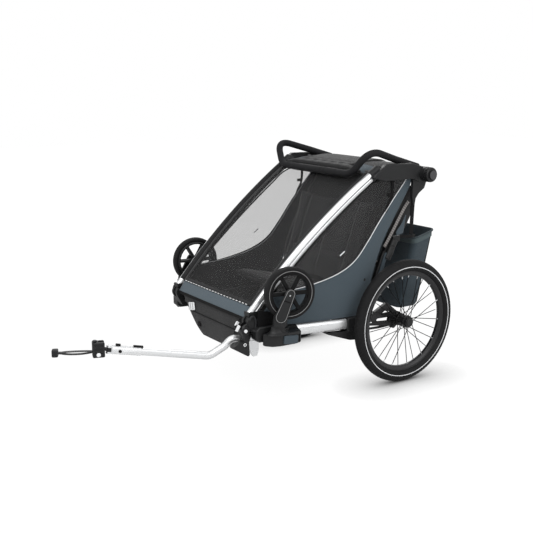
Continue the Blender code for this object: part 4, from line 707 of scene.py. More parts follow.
def barLine(count):
    # Up from each hub, forward along the sides and down to the crossbar, with arcs at the bends
    values = handlebar
    y, z = values["hub"]
    half = np.array([(values["x"], y - 0.005, z + 0.027), (values["x"], *values["straight"]),
                     (values["topX"], *values["top"]), (values["crossX"], *values["cross"])])
    points = np.vstack([half, (half * (-1, 1, 1))[::-1]])
    line = roundedLine(points, values["bend"], count)
    return toFrame(line[:, 0], line[:, 1], line[:, 2])


def makeHandlebar():
    # A circle along the bent line, a little fatter along the crossbar, and the two turned drums it swings on
    values = handlebar
    line = barLine(260)
    beyond = np.abs(line[:, 0]) - 0.150
    level = line[:, 2] < values["cross"][1] + groundDrop + 0.012
    fat = 1 + values["sleeve"] / values["radius"] * (1 - smoothStep(beyond, 0.0, 0.004))
    grid = carry(line, circle(values["radius"], 32), (0.0, 0.5, -0.87), np.where(level, fat, 1.0))
    place(solid("handlebarGrip", grid, "gripFoam"), "handlebar", "grip_foam", ["handlebar"])
    inner, outer = values["x"] - 0.0175, values["plateX"] - 0.0004
    profile = np.array([(inner, 0.004), (inner, 0.0235), (inner + 0.0007, 0.0255), (inner + 0.0025, 0.0278),
                        (inner + 0.011, 0.0280), (inner + 0.0115, 0.0272), (inner + 0.0135, 0.0272),
                        (inner + 0.014, 0.0280), (outer - 0.0020, 0.0278), (outer, 0.0260), (outer, 0.004)])
    for side, shape in eachSide(np.swapaxes(turnGrid(profile, values["hub"], 56), 0, 1)):
        place(solid("handlebarDrum_" + side, shape, "blackPlastic"), "handlebar", "grip_foam")


def turnGrid(profile, centre, steps, x=0.0):
    # A profile of (x, radius) turned about an axis along X through the centre
    angle = np.linspace(0, 2 * np.pi, steps, endpoint=False)[:, None]
    px, r = profile[None, :, 0], profile[None, :, 1]
    return toFrame(x + px + 0 * angle, centre[0] + r * np.cos(angle), centre[1] + r * np.sin(angle))


makeHandlebar()
print("handlebar made")


# Main wheels: tyre with a shallow tread, rim, crossed spokes and hub

mainWheel = {"radius": 0.2565, "x": 0.365, "axle": (-0.013, 0.2505), "tyreWidth": 0.048, "tyreHeight": 0.0490,
             "rimDepth": 0.0165, "rimWidth": 0.025, "spokes": 28, "spokeRadius": 0.0016, "flange": 0.026,
             "flangeX": 0.018, "treadDepth": 0.0011, "treadCount": 96, "stripe": 0.2290, "stripeWidth": 0.0028,
             "stripeOut": 0.0004, "power": 0.94}


def makeTyre():
    # Round profile times the turn; the tread is slanted grooves that fade out down the shoulders
    values = mainWheel
    angle = np.linspace(0, 2 * np.pi, values["treadCount"] * 7, endpoint=False)[:, None]
    around = np.radians(np.linspace(247, -67, 53))[None, :]
    middle = values["radius"] - values["tyreHeight"] / 2
    rise, half = values["tyreHeight"] / 2, values["tyreWidth"] / 2
    across = half * signedPower(np.cos(around), values["power"])
    out = rise * signedPower(np.sin(around), values["power"])
    top = smoothStep(np.sin(around), 0.50, 0.62)
    slant = angle * values["treadCount"] + np.abs(across) / half * 5.2
    grooves = np.clip((np.cos(slant) - 0.62) * 6, 0, 1) * smoothStep(np.abs(across) / half, 0.16, 0.22)
    centre = np.exp(-((np.abs(across) - 0.0028) / 0.0007) ** 2)
    depth = values["treadDepth"] * top * np.maximum(grooves, centre)
    shoulder = 0.0004 * np.exp(-((np.abs(np.sin(around) - 0.42) / 0.03) ** 2))
    radius = middle + out - depth * (out > 0) + shoulder
    y, z = values["axle"]
    grid = toFrame(values["x"] + across + 0 * angle, y + radius * np.cos(angle), z + radius * np.sin(angle))
    for side, shape in eachSide(grid):
        piece = solid("tyreBody_" + side, shape, "tyreRubber", loop=True, sharp=60)
        place(piece, "wheel_" + side, "tyre_rubber", ["tyre_" + side])


def makeTyreStripe():
    # A thin reflective band laid on each sidewall: a narrow strip of the tyre's own profile, turned
    values = mainWheel
    middle = values["radius"] - values["tyreHeight"] / 2
    rise, half = values["tyreHeight"] / 2, values["tyreWidth"] / 2
    low, turn = math.asin((values["stripe"] - middle) / rise), values["stripeWidth"] / rise / 2
    around = np.linspace(low - turn, low + turn, 5)
    top = np.stack([(half + values["stripeOut"]) * signedPower(np.cos(around), values["power"]),
                    middle + (rise + values["stripeOut"]) * signedPower(np.sin(around), values["power"])], axis=1)
    profile = np.vstack([top, top[::-1] - np.array((0.0012, 0.0))])
    for label, sign in (("outer", 1), ("inner", -1)):
        for side, shape in eachSide(turnGrid(profile * (sign, 1), values["axle"], 180, values["x"])):
            piece = solid("tyreStripe_" + label + "_" + side, shape, "reflectiveTrim", loop=True)
            place(piece, "wheel_" + side, "tyre_rubber")


def bars(starts, ends, radius, sides=6):
    # Thin straight bars as one set of grids: two circles each, joined end to end
    axis = unit(ends - starts)
    helper = np.where(np.abs(axis[:, :1]) < 0.7, (1.0, 0.0, 0.0), (0.0, 1.0, 0.0))
    side = unit(np.cross(axis, helper))
    up = np.cross(axis, side)
    angle = np.linspace(0, 2 * np.pi, sides, endpoint=False)
    ring = (side[:, None] * np.cos(angle)[:, None] + up[:, None] * np.sin(angle)[:, None])
    radius = np.broadcast_to(np.asarray(radius, float), (2,))
    low, high = starts[:, None] + ring * radius[0], ends[:, None] + ring * radius[1]
    vertices = np.stack([low, high], axis=1).reshape(-1, 3)
    j = np.arange(sides)
    quad = np.stack([j, (j + 1) % sides, (j + 1) % sides + sides, j + sides], axis=1)
    offsets = (np.arange(len(starts)) * 2 * sides)[:, None, None]
    faces = (quad[None] + offsets).reshape(-1, 4).tolist()
    caps = np.stack([j[::-1], j + sides])[None] + offsets
    return vertices, faces + caps.reshape(-1, sides).tolist()


def joinShapes(name, shapes, materials):
    # Several vertex and face sets in one mesh; the third entry of each is its material's number
    vertices, faces, index, count = [], [], [], 0
    for points, sides, number in shapes:
        vertices.append(np.asarray(points).reshape(-1, 3))
        faces += [[corner + count for corner in face] for face in sides]
        index += [number] * len(sides)
        count += len(vertices[-1])
    return outwards(finishMesh(name, np.vstack(vertices), faces, None, materials, np.array(index)))


def gridShape(grid, number=0, loop=True):
    # A grid of rings, joined end to end or else capped, as one set for joinShapes
    rows, columns = grid.shape[:2]
    faces = gridQuads(rows, columns, True, loop)[2].tolist()
    if not loop:
        faces += [list(range(columns))[::-1], list(range((rows - 1) * columns, rows * columns))]
    return grid, faces, number


def makeSpokedWheel():
    # Rim and hub are turned profiles; each spoke runs from a flange to the rim, leaning one way or the other
    values = mainWheel
    top = values["radius"] - values["tyreHeight"] + 0.0022
    base = top - values["rimDepth"] - 0.0028
    half = values["rimWidth"] / 2
    rim = np.array([(-half, top), (-half, top - 0.0075), (-half + 0.0008, top - 0.0086),
                    (-half * 0.66, base + 0.0015),
                    (-half * 0.45, base), (half * 0.45, base), (half * 0.66, base + 0.0015),
                    (half - 0.0008, top - 0.0086), (half, top - 0.0075), (half, top), (half - 0.0016, top + 0.0004),
                    (-half + 0.0016, top + 0.0004)])
    shapes = [gridShape(turnGrid(rim, values["axle"], 168, values["x"]))]
    f, r = values["flangeX"], values["flange"]
    hub = np.array([(-0.058, 0.0060), (-0.0575, 0.0070), (-0.027, 0.0072), (-0.027, 0.0140), (-f - 0.004, 0.0146),
                    (-f - 0.0032, r - 0.0006), (-f - 0.0024, r), (-f + 0.0024, r), (-f + 0.0032, r - 0.0006),
                    (-f + 0.005, 0.0130), (0.0, 0.0118), (f - 0.005, 0.0130), (f - 0.0032, r - 0.0006),
                    (f - 0.0024, r), (f + 0.0024, r), (f + 0.0034, 0.0205), (0.0336, 0.0200), (0.034, 0.0196),
                    (0.034, 0.0170), (0.0262, 0.0170), (0.0262, 0.0020)])
    hubGrid = np.swapaxes(turnGrid(hub, values["axle"], 64, values["x"]), 0, 1)
    shapes.append(gridShape(hubGrid, loop=False))
    k = np.arange(values["spokes"])
    rimAngle = 2 * np.pi * (k + 0.5) / values["spokes"]
    flange = np.where(k % 2 == 1, f, -f)
    way = np.where((k // 2) % 2 == 1, 1.0, -1.0)
    hubAngle = rimAngle + way * math.radians(42)
    y, z = values["axle"]
    starts = toFrame(values["x"] + flange + 0.0022 * way, y + (r - 0.003) * np.cos(hubAngle),
                     z + (r - 0.003) * np.sin(hubAngle))
    ends = toFrame(values["x"] + 0.2 * flange, y + (base + 0.002) * np.cos(rimAngle),
                   z + (base + 0.002) * np.sin(rimAngle))
    shapes.append((*bars(starts, ends, values["spokeRadius"]), 2))
    inward = unit(starts - ends)
    shapes.append((*bars(ends - inward * 0.001, ends + inward * 0.0125, (0.0024, 0.0018), 8), 1))
    for side, sign in (("left", 1.0), ("right", -1.0)):
        turned = [(points * (sign, 1.0, 1.0), faces, number) for points, faces, number in shapes]
        piece = joinShapes("spokedWheel_" + side, turned, "blackRim brightSteel matteBlack")
        place(piece, "wheel_" + side, "black_rim", ["spoked_wheel_" + side])


makeTyre()
makeTyreStripe()
makeSpokedWheel()
print("main wheels made")


# Stroller wheel tyres, stowed on their forks

strollerTyre = {"x": 0.3567, "hub": (-0.592, 0.448), "stem": (0.358, -0.632), "radius": 0.100, "seat": 0.0841,
                "width": 0.034, "yaw": (12.0, 7.0)}


def makeStrollerTyre():
    # Superellipse profile turned, with a fine rib either side of the crown, then swung about the stem
    values = strollerTyre
    around = np.radians(np.linspace(205, -25, 33))
    middle, rise = (values["radius"] + values["seat"]) / 2, (values["radius"] - values["seat"]) / 2
    across = values["width"] / 2 * signedPower(np.cos(around), 0.7)
    out = rise * signedPower(np.sin(around), 0.7)
    ribs = 0.0007 * np.exp(-((np.abs(across) - 0.0075) / 0.0012) ** 2) * (out > 0)
    profile = np.stack([across, middle + out - ribs], axis=1)
    profile = profile[(profile[:, 1] > values["seat"])]
    profile = np.vstack([[(-0.011, values["seat"])], profile, [(0.011, values["seat"])]])
    for side, shape in eachSide(turnGrid(profile, values["hub"], 120, values["x"])):
        piece = solid("strollerTyreBody_" + side, swungOnStem(shape, side), "tyreRubber", loop=True, sharp=50)
        place(piece, "stroller_wheel_" + side, "tyre_rubber", ["stroller_tyre_" + side])


def swungOnStem(points, side):
    # The points turned about the upright line of the fork's stem, by the angle of that side's own fork
    sign, number = (1, 0) if side == "left" else (-1, 1)
    centre = toFrame(sign * strollerTyre["stem"][0], strollerTyre["stem"][1], 0.0)
    a = -math.radians(strollerTyre["yaw"][number])
    turn = np.array(((math.cos(a), -math.sin(a), 0), (math.sin(a), math.cos(a), 0), (0, 0, 1)))
    return (points - centre) @ turn.T + centre


makeStrollerTyre()
print("stroller wheels made")


# Cabin cloth

pipingLine = [(-0.606, 0.436), (-0.450, 0.449), (-0.320, 0.476), (-0.235, 0.519), (-0.170, 0.590),
              (-0.115, 0.662), (-0.044, 0.748), (0.012, 0.812), (0.024, 0.828)]
cabin = {"panelX": 0.3085, "gap": 0.0020, "filmThickness": 0.0007, "clothThickness": 0.0016}


def upNormals(curve):
    # Unit vectors square to a side curve that runs rearwards, pointing up
    tangent = np.gradient(curve, axis=0)
    return unit(np.stack([-tangent[:, 1], tangent[:, 0]], axis=1))


def between(lower, upper, lowerX, upperX, shares, bulge):
    # Straight lines between two side curves, bowed outwards by a sine each way
    v = shares[None, :]
    u = np.linspace(0, 1, len(lower))[:, None]
    spot = lower[:, None] + (upper - lower)[:, None] * v[..., None]
    x = lowerX + (np.reshape(upperX, (-1, 1)) - lowerX) * v + bulge * np.sin(np.pi * v) * np.sin(np.pi * u)
    return toFrame(x, spot[..., 0], spot[..., 1])


def hemMask(rows, columns, ends):
    # Material 1 on the faces of the hem: three columns at each side and some rows at each end
    mask = np.ones((rows - 1, columns - 1), int)
    mask[ends:-ends, 3:-3] = 0
    return mask.ravel()


def borderShares(count, border, total):
    # Even steps with two extra lines close to each end, for a hem of real width
    b = border / total
    return np.concatenate([[0, b * 0.5, b * 0.999, b * 1.001], np.linspace(b, 1 - b, count)[1:-1],
                           [1 - b * 1.001, 1 - b * 0.999, 1 - b * 0.5, 1]])


def makeSideWindow():
    # Film between the piping below and the upper tube above, with a cloth hem round it and faint lying folds
    t = np.linspace(0.145, 0.900, 8)
    under = tubeLine(t, -upperTube["height"] / 2 - 0.006)
    under = np.stack([under[:, 1] - axleShift, under[:, 2] - groundDrop], axis=1)
    rows = 110
    upper = curveThrough(np.vstack([under, [(-0.080, 0.8345), (0.018, 0.8345)]]), rows)
    lower = curveThrough(pipingLine, rows)
    lower = lower + upNormals(lower) * cabin["gap"] / 2
    shares = borderShares(24, 0.007, 0.16)
    u = np.linspace(0, 1, rows)
    grid = between(lower, upper, cabin["panelX"], 0.292 + 0.012 * u, shares, 0.003)
    inner = np.sin(np.pi * shares[None, :]) * np.sin(np.pi * u[:, None])
    grid[..., 0] += 0.0016 * inner * waves(grid * (0.2, 1.0, 1.6), 0.16, 3)
    for side, shape in eachSide(grid):
        piece = gridPiece("sideWindowFilm_" + side, shape, "sideFilm blackCloth",
                          faceMaterial=hemMask(rows, len(shares), 2), flip=side == "right")
        thicken(piece, cabin["filmThickness"], 0.0)
        place(piece, "both", "tinted_window", ["side_window_" + side])


panelRear = [(-0.178, 0.320), (-0.160, 0.400), (-0.136, 0.480), (-0.091, 0.588), (-0.015, 0.710), (0.034, 0.785),
             (0.047, 0.812), (0.050, 0.833)]


def panelCurves(rows):
    # The panel's outer edge, along the rail and up at the rear, and its inner edge, along the piping
    front = curveThrough([(-0.686, 0.352), (-0.655, 0.392), (-0.632, 0.419), pipingLine[0]], 20)[:-1]
    piping = np.vstack([front, curveThrough(pipingLine, rows - 19)])
    outer = curveThrough([(-0.686, 0.3265), (-0.606, 0.3240), (-0.585, 0.3130), (-0.450, 0.3020), (-0.300, 0.2955),
                          (-0.200, 0.2965)] + panelRear, rows)
    inner = evenly(piping, rows)
    return outer, inner - upNormals(inner) * cabin["gap"] / 2


def makeSidePanel():
    # Slate cloth between the rail and the piping, drawn tight with shallow pulls towards its corners
    rows, columns = 130, 30
    outer, inner = panelCurves(rows)
    shares = np.linspace(0, 1, columns)
    grid = between(outer, inner, cabin["panelX"], cabin["panelX"], shares, 0.004)
    u, v = np.linspace(0, 1, rows)[:, None], shares[None, :]
    pull = np.sin(np.pi * v) * np.sin(np.pi * u) ** 0.5
    grid[..., 0] += 0.0013 * pull * waves(grid * (0.2, 1.0, 1.0), 0.22, 11)
    for side, shape in eachSide(grid):
        piece = gridPiece("sidePanelCloth_" + side, shape, "slateCloth blackCloth", flip=side == "left")
        thicken(piece, cabin["clothThickness"], 0.0).modifiers["wall"].material_offset = 1
        place(piece, "both", "slate_fabric", ["side_panel_" + side])


def makePiping():
    # A round cord along the seam between panel and window, and a hem roll along the panel's free edges
    line = curveThrough(pipingLine, 150)
    cord = carry(toFrame(cabin["panelX"] + 0.0012, *line.T), circle(0.0017, 10), (1, 0, 0))
    outer, _ = panelCurves(190)
    hem = carry(toFrame(cabin["panelX"] + 0.0006, *outer.T), circle(0.0024, 10, 0.8), (1, 0, 0))
    for name, grid, material in (("pipingCord_", cord, "reflectiveTrim"), ("panelHem_", hem, "slateCloth")):
        for side, shape in eachSide(grid):
            place(solid(name + side, shape, material), "both", "slate_fabric")


def coverPoints(t, share, lift=0.009, crown=0.010):
    # Straight across between the two tubes, raised in the middle by a sine each way
    edge = tubeLine(t, lift)
    half = edge[..., 0] - upperTube["width"] / 2 - 0.0060
    rise = crown * np.sin(np.pi * share) * np.sin(np.pi * np.minimum(1.0, t * 1.05))
    line = tubeLine(t, lift + rise)
    return np.stack([half * (2 * share - 1), line[..., 1], line[..., 2]], axis=-1)


def makeFrontCover():
    # One clear sheet with a black hem sewn round it; the hem is as thick as the film
    rows, columns = 70, 48
    t = borderShares(rows, 0.016, 0.80) * (0.954 - 0.030) + 0.030
    share = borderShares(columns, 0.019, 0.54)
    grid = coverPoints(t[:, None], share[None, :])
    u, v = np.linspace(0, 1, len(t))[:, None], np.linspace(0, 1, len(share))[None, :]
    ripple = np.sin(np.pi * u) * np.sin(np.pi * v)
    grid[..., 2] += 0.0012 * ripple * waves(grid, 0.30, 5)
    mask = hemMask(len(t), len(share), 3)
    piece = gridPiece("frontCoverFilm", grid, "clearFilm blackCloth", faceMaterial=mask)
    thicken(piece, cabin["filmThickness"], 0.0)
    place(piece, "upper_frame", "tinted_window", ["front_cover"])


def makeFrontPanel():
    # A slate strip that leans forward at its foot, with a bound top edge
    half = 0.280 - 0.017 - 0.006
    u = np.linspace(0, 1, 14)[:, None]
    v = np.linspace(0, 1, 80)[None, :]
    bulge = 0.004 * np.sin(np.pi * v) * np.sin(np.pi * (0.15 + 0.85 * u))
    wave = 0.0007 * np.sin(np.pi * u) * np.sin(2 * np.pi * v * 3.0)
    grid = toFrame(half * (2 * v - 1) + 0 * u, -0.6965 - 0.0275 * u - bulge - wave, 0.3875 - 0.0400 * u + 0 * v)
    piece = gridPiece("frontStripCloth", grid, "stripCloth", flip=True)
    thicken(piece, 0.0022, 0.0)
    place(piece, "frame", "slate_fabric", ["front_panel"])
    line = grid[0] + np.array((0.0, -0.0006, 0.0016))
    stripe = carry(line, roundedBox(0.0013, 0.0022, 0.0010, 3), (0, -0.8, 0.3))
    place(solid("frontStripPiping", stripe, "matteBlack"), "frame", "black_fabric")
    starts, ends = dashes(line + np.array((0.0, -0.0014, 0.0020)), 0.0225, 0.0105)
    vertices, faces = bars(starts, ends, 0.0019, 8)
    place(outwards(finishMesh("frontStripDashes", vertices, faces, materials="whitePlastic")), "frame",
          "slate_fabric")
    band = carry(grid[-1] + np.array((0.0, -0.0006, -0.0040)), roundedBox(0.0022, 0.0062, 0.0016, 3), (0, -1, 0.2))
    place(solid("frontStripBand", band, "matteBlack"), "frame", "black_fabric")


def dashes(line, pitch, length):
    # The two ends of each dash along a line, at an even pitch
    steps = np.concatenate([[0], np.cumsum(np.linalg.norm(np.diff(line, axis=0), axis=1))])
    firsts = np.arange(pitch * 0.5, steps[-1] - length, pitch)
    return [np.stack([np.interp(distance, steps, column) for column in line.T], axis=1)
            for distance in (firsts, firsts + length)]


makeSideWindow()
makeSidePanel()
makePiping()
makeFrontCover()
makeFrontPanel()
print("cabin cloth made")


# Footwell tub

footTub = {"bottomZ": 0.190, "floorShare": 0.42, "topZ": 0.311, "front": -0.722, "lip": 0.030, "rear": -0.262}


def tubRing(level, inset):
    # A rounded rectangle that narrows to the floor; its front edge rises into a lip
    values = footTub
    front = values["front"] + 0.020 * (1 - level) ** 2 + inset
    rear = values["rear"] - 0.060 * (1 - level) - inset
    middle, half = (front + rear) / 2, (rear - front) / 2
    z = values["bottomZ"] + (values["topZ"] - values["bottomZ"]) * level
    ring = fineRing(1.0, half, 0.030, 9)
    y = middle + ring[:, 1]
    narrow = values["floorShare"] + (1 - values["floorShare"]) * level ** 0.9
    width = (0.2325 + 0.0575 * smoothStep(y, -0.700, -0.625)) * narrow - inset
    lip = values["lip"] * level ** 2 * (1 - smoothStep(y, -0.710, -0.670))
    return toFrame(ring[:, 0] * width, y, z + lip)


def fineRing(halfA, halfB, corner, steps):
    # A rounded rectangle read again at even steps, for long straight sides with enough points to drape
    ring = roundedBox(halfA, halfB, corner, steps)
    ring = np.vstack([ring, ring[:1]])
    return evenly(ring, 161)[:-1]


def makeFootwell():
    # Rings stacked from floor to rim; the cloth hangs in soft pleats that are deepest halfway down
    levels = np.concatenate([[0.0, 0.03, 0.08, 0.14], np.linspace(0.2, 1.0, 18)])
    grid = np.stack([tubRing(level, 0.0) for level in levels])
    centre = grid.mean(axis=1, keepdims=True)
    outward = unit((grid - centre) * (1, 1, 0))
    depth = np.sin(np.pi * np.clip(levels, 0, 1))[:, None, None]
    grid = grid - outward * 0.0022 * depth * (0.5 + 0.5 * waves(grid * (1, 1, 0.4), 0.12, 21)[..., None])
    floor = grid[:1] * 0.985 + grid[:1].mean(axis=1, keepdims=True) * 0.015
    piece = gridPiece("footwellCloth", withFloor(grid, floor, (0.02, 0.35, 0.7)), "blackCloth", wrap=True, flip=True)
    faceOut(piece)
    thicken(piece, 0.0020, -1.0)
    place(piece, "frame", "black_fabric", ["footwell"])
    hem("footwellHem", tubRing(1.0, -0.0004), roundedBox(0.0030, 0.0016, 0.0012, 3), "blackWebbing", "frame")


def withFloor(grid, floor, shares):
    # The first ring drawn in towards its middle by each share, set before the grid
    middle = grid[:1].mean(axis=1, keepdims=True)
    return np.concatenate([*(middle + (floor - middle) * share for share in shares), grid])


def hem(name, ring, section, material, body, slot="black_fabric"):
    # A section carried once round a closed line
    grid = carry(np.vstack([ring, ring[:2]]), section, (0, 0, 1))[:-2]
    return place(solid(name, grid, material, loop=True), body, slot)


def faceOut(piece, up=False):
    # For an open shell: flips all faces when most of them look towards the middle, or down
    mesh = piece.data
    normals, centres = np.zeros(len(mesh.polygons) * 3), np.zeros(len(mesh.polygons) * 3)
    mesh.polygons.foreach_get("normal", normals)
    mesh.polygons.foreach_get("center", centres)
    normals, centres = normals.reshape(-1, 3), centres.reshape(-1, 3)
    away = np.array((0, 0, 1)) if up else centres - centres.mean(0)
    if (away * normals).sum() < 0:
        mesh.flip_normals()


makeFootwell()
print("footwell made")


# Seats, simulated as stuffed pads

seats = {"cushion": dict(centre=(0.0, -0.330, 0.372), half=(0.262, 0.125, 0.030), tilt=-13.0, crown=0.012, pull=0.05),
         "back": dict(centre=(0.0, -0.146, 0.560), half=(0.256, 0.185, 0.022), tilt=-109.0, crown=0.009, pull=0.05)}


def padGrids(values, rows=41, columns=61):
    # Crowned by one minus a fourth power each way; the sides draw in between the corners
    u = np.linspace(-1, 1, columns)[None, :]
    v = np.linspace(-1, 1, rows)[:, None]
    dome = (1 - u ** 4) * (1 - v ** 4)
    a, b, c = values["half"]
    x = u * a * (1 - values["pull"] * (1 - v ** 2) * np.abs(u) ** 3)
    y = v * b * (1 - values["pull"] * (1 - u ** 2) * np.abs(v) ** 3)
    turn = math.radians(values["tilt"])
    matrix = np.array(((1, 0, 0), (0, math.cos(turn), -math.sin(turn)), (0, math.sin(turn), math.cos(turn))))
    centre = toFrame(*values["centre"])
    sheets = [np.stack([x, y, sign * (0.30 * c + values["crown"] * dome * 0.8)], axis=-1) @ matrix.T + centre
              for sign in (1, -1)]
    return sheets, matrix, centre


def makePad(name, values, channels, swell):
    # A pillow of two sheets, remeshed, blown up by the cloth solver and capped, then pressed in along its seams
    (top, base), matrix, centre = padGrids(values)
    rows, columns = top.shape[:2]
    quads = gridQuads(rows, columns)[2]
    edge = np.concatenate([np.arange(columns - 1), np.arange(1, rows) * columns - 1,
                           np.arange(rows * columns - 1, (rows - 1) * columns, -1),
                           np.arange((rows - 1) * columns, 0, -columns)])
    following = np.roll(edge, -1)
    total = rows * columns
    rim = np.stack([edge, edge + total, following + total, following], axis=1)
    faces = quads.tolist() + (quads[:, ::-1] + total).tolist() + rim.tolist()
    pad = outwards(finishMesh(name, np.concatenate([top.reshape(-1, 3), base.reshape(-1, 3)]), faces,
                              materials="seatCloth"))
    remesh = pad.modifiers.new("remesh", "REMESH")
    remesh.mode = "VOXEL"
    remesh.voxel_size = 0.0065
    remesh.use_smooth_shade = True
    applyModifiers(pad)
    rest = verticesOf(pad)
    simulatePad(pad)
    moved = verticesOf(pad) - rest
    size = np.linalg.norm(moved, axis=1, keepdims=True)
    setVertices(pad, rest + moved * np.minimum(1.0, swell / np.maximum(size, 1e-9)))
    local = (verticesOf(pad) - centre) @ matrix
    groove = np.exp(-((local[:, 0, None] - np.array(channels["across"])) / 0.0075) ** 2).sum(1)
    groove += 0.8 * np.exp(-((local[:, 1, None] - np.array(channels["along"])) / 0.0065) ** 2).sum(1)
    local[:, 2] *= 1 - 0.42 * np.clip(groove, 0, 1)
    local[:, 2] += waves(local, 0.055, 31) * 0.0010 * np.clip(groove * 2, 0, 1)
    setVertices(pad, local @ matrix.T + centre)
    finer = pad.modifiers.new("finer", "SUBSURF")
    finer.levels = finer.render_levels = 1
    return pad


def applyModifiers(piece):
    # The piece's mesh becomes what its modifiers make of it
    graph = bpy.context.evaluated_depsgraph_get()
    mesh = bpy.data.meshes.new_from_object(piece.evaluated_get(graph))
    piece.modifiers.clear()
    old = piece.data
    piece.data = mesh
    bpy.data.meshes.remove(old)
    mesh.shade_smooth()


def simulatePad(pad):
    # Inside pressure and no gravity, for twenty frames
    cloth = pad.modifiers.new("cloth", "CLOTH")
    cloth.settings.use_pressure = True
    cloth.settings.uniform_pressure_force = 4.0
    cloth.settings.effector_weights.gravity = 0.0
    cloth.point_cache.frame_start, cloth.point_cache.frame_end = 1, 20
    scene = bpy.context.scene
    for number in range(1, 21):
        scene.frame_set(number)
    applyModifiers(pad)
    scene.frame_set(1)


cushion = makePad("seatCushionPad", seats["cushion"], {"across": [0.0], "along": [-0.055, 0.045]}, 0.007)
place(cushion, "frame", "black_fabric", ["seat_cushion"])
back = makePad("seatBackPad", seats["back"], {"across": [-0.165, 0.0, 0.165], "along": [0.06]}, 0.006)
place(back, "both", "black_fabric", ["seat_back"])
print("seats made")


# Rear wall, roof and rolled shade

def makeRearWall():
    # It keeps just inside the rear edge of the side panels, from its top to its foot, and narrows at the foot
    rows, columns = 40, 36
    line = curveThrough(panelRear[::-1], rows)
    u, v = shares(rows, columns)
    half = 0.255 + 0.049 * smoothStep(1 - u, 0.0, 0.30)
    grid = toFrame(half * (2 * v - 1), line[:, :1] - 0.009 + 0 * v, line[:, 1:] + 0 * v)
    grid[..., 1] += 0.0016 * np.sin(np.pi * u) * np.sin(np.pi * v) * waves(grid, 0.15, 41)
    piece = gridPiece("rearWallCloth", grid, "blackCloth", flip=True)
    thicken(piece, 0.0016, 0.0)
    place(piece, "both", "black_fabric", ["rear_wall"])


roof = {"slateTo": -0.104, "halfWidth": 0.266, "ridge": (-0.030, 0.8905), "fall": 0.0165, "thickness": 0.004,
        "front": -0.162,
        "rear": 0.062}
shadeRoll = {"front": -0.184, "rear": 0.046, "endRear": -0.163, "halfWidth": 0.248, "endFrom": 0.63, "endTo": 0.70,
             "creases": [(0.0030, 0.150, 0.0045), (0.0022, 0.118, 0.004), (0.0012, 0.070, 0.005)]}


def roofHeight(y):
    # Highest over the crossbar: a square and a sixth power take it down to both edges
    share = (y - roof["ridge"][0]) / 0.12
    return roof["ridge"][1] - roof["fall"] * share ** 2 - 0.003 * share ** 6


def makeRoof():
    # One sheet that follows the roof's height and falls by a sixth power to its sides; slate in front, black behind
    u, v = np.linspace(0, 1, 40)[:, None], np.linspace(0, 1, 72)[None, :]
    side = 2 * v - 1
    y = roof["front"] + (roof["rear"] - roof["front"]) * u
    z = roofHeight(y) - 0.011 * side ** 6
    grid = toFrame(roof["halfWidth"] * side + 0 * u, y + 0 * v, z)
    grid[..., 2] += 0.0007 * np.sin(np.pi * u) * waves(grid, 0.12, 51)
    face = np.repeat((y[:-1] > roof["slateTo"]).astype(int), 71, axis=1)
    piece = gridPiece("roofCloth", grid, "slateCloth blackCloth", faceMaterial=face.ravel(), flip=True)
    faceOut(piece, up=True)
    thicken(piece, 0.0026, 0.0)
    place(piece, "upper_frame", "slate_fabric", ["roof"])
    rim = np.vstack([grid[0], grid[1:, -1], grid[-1, ::-1][1:], grid[::-1, 0][1:-1]])
    hem("roofHem", rim, roundedBox(0.0034, 0.0024, 0.0018, 3), "blackWebbing", "upper_frame")


def makeShade():
    # Folded shade: a fat rounded front edge, and a thin flap behind it that reaches over the ridge
    rows, columns = 60, 110
    share = np.linspace(0, 1, rows)[:, None]
    side = np.linspace(-1, 1, columns)[None, :]
    values = shadeRoll
    ends = smoothStep(np.abs(side), values["endFrom"], values["endTo"])
    rear = values["rear"] + (values["endRear"] - values["rear"]) * ends
    y = values["front"] + (rear - values["front"]) * share
    base = roofHeight(np.maximum(y, -0.160)) - 0.011 * (side * values["halfWidth"] / roof["halfWidth"]) ** 6 \
        + roof["thickness"] / 2 + 0.0012
    behind = smoothStep(y, values["front"], values["front"] + 0.075)
    roll = np.sin(np.pi * np.clip((y - values["front"] + 0.006) / 0.060, 0.0, 0.5)) ** 0.6
    height = (0.0035 + 0.0125 * roll * (1 - behind) + 0.0022 * roll) * (1 - 0.7 * np.abs(side) ** 10)
    height = height * (1 - smoothStep(share, 0.88, 1.0) * 0.7)
    creases = sum(-depth * np.exp(-(((y + at) / half) ** 2)) for depth, at, half in values["creases"]) * (1 - ends)
    pleats = 0.0011 * np.sin(side * 26 + 2.0 * np.sin(y * 60)) * np.exp(-((y + 0.140) / 0.05) ** 2)
    top = toFrame(values["halfWidth"] * side + 0 * share, y, base + height + creases + pleats)
    under = toFrame(values["halfWidth"] * side + 0 * share, y, base + 0 * height)
    grid = np.concatenate([top, under[::-1]])
    piece = gridPiece("shadeRollCloth", grid, "blackCloth", loop=True, sharp=70)
    closeSides(piece)
    place(piece, "upper_frame", "black_fabric", ["sunshade"])


def closeSides(piece):
    # Fills the two open ends of a looped grid and points its faces out
    work = bmesh.new()
    work.from_mesh(piece.data)
    bmesh.ops.holes_fill(work, edges=[edge for edge in work.edges if edge.is_boundary])
    bmesh.ops.triangulate(work, faces=[face for face in work.faces if len(face.verts) > 4])
    bmesh.ops.recalc_face_normals(work, faces=work.faces)
    work.to_mesh(piece.data)
    work.free()


makeRearWall()
makeRoof()
makeShade()
print("roof made")


# Cargo bag

cargoBag = {"halfWidth": 0.250, "wall": 0.0022, "bottomZ": 0.256, "topZ": 0.590, "roll": 0.0042, "rollOut": 0.0016,
            "bandLevel": 0.955, "bandHeight": 0.022, "bindings": (1, 79), "rise": 0.0145}


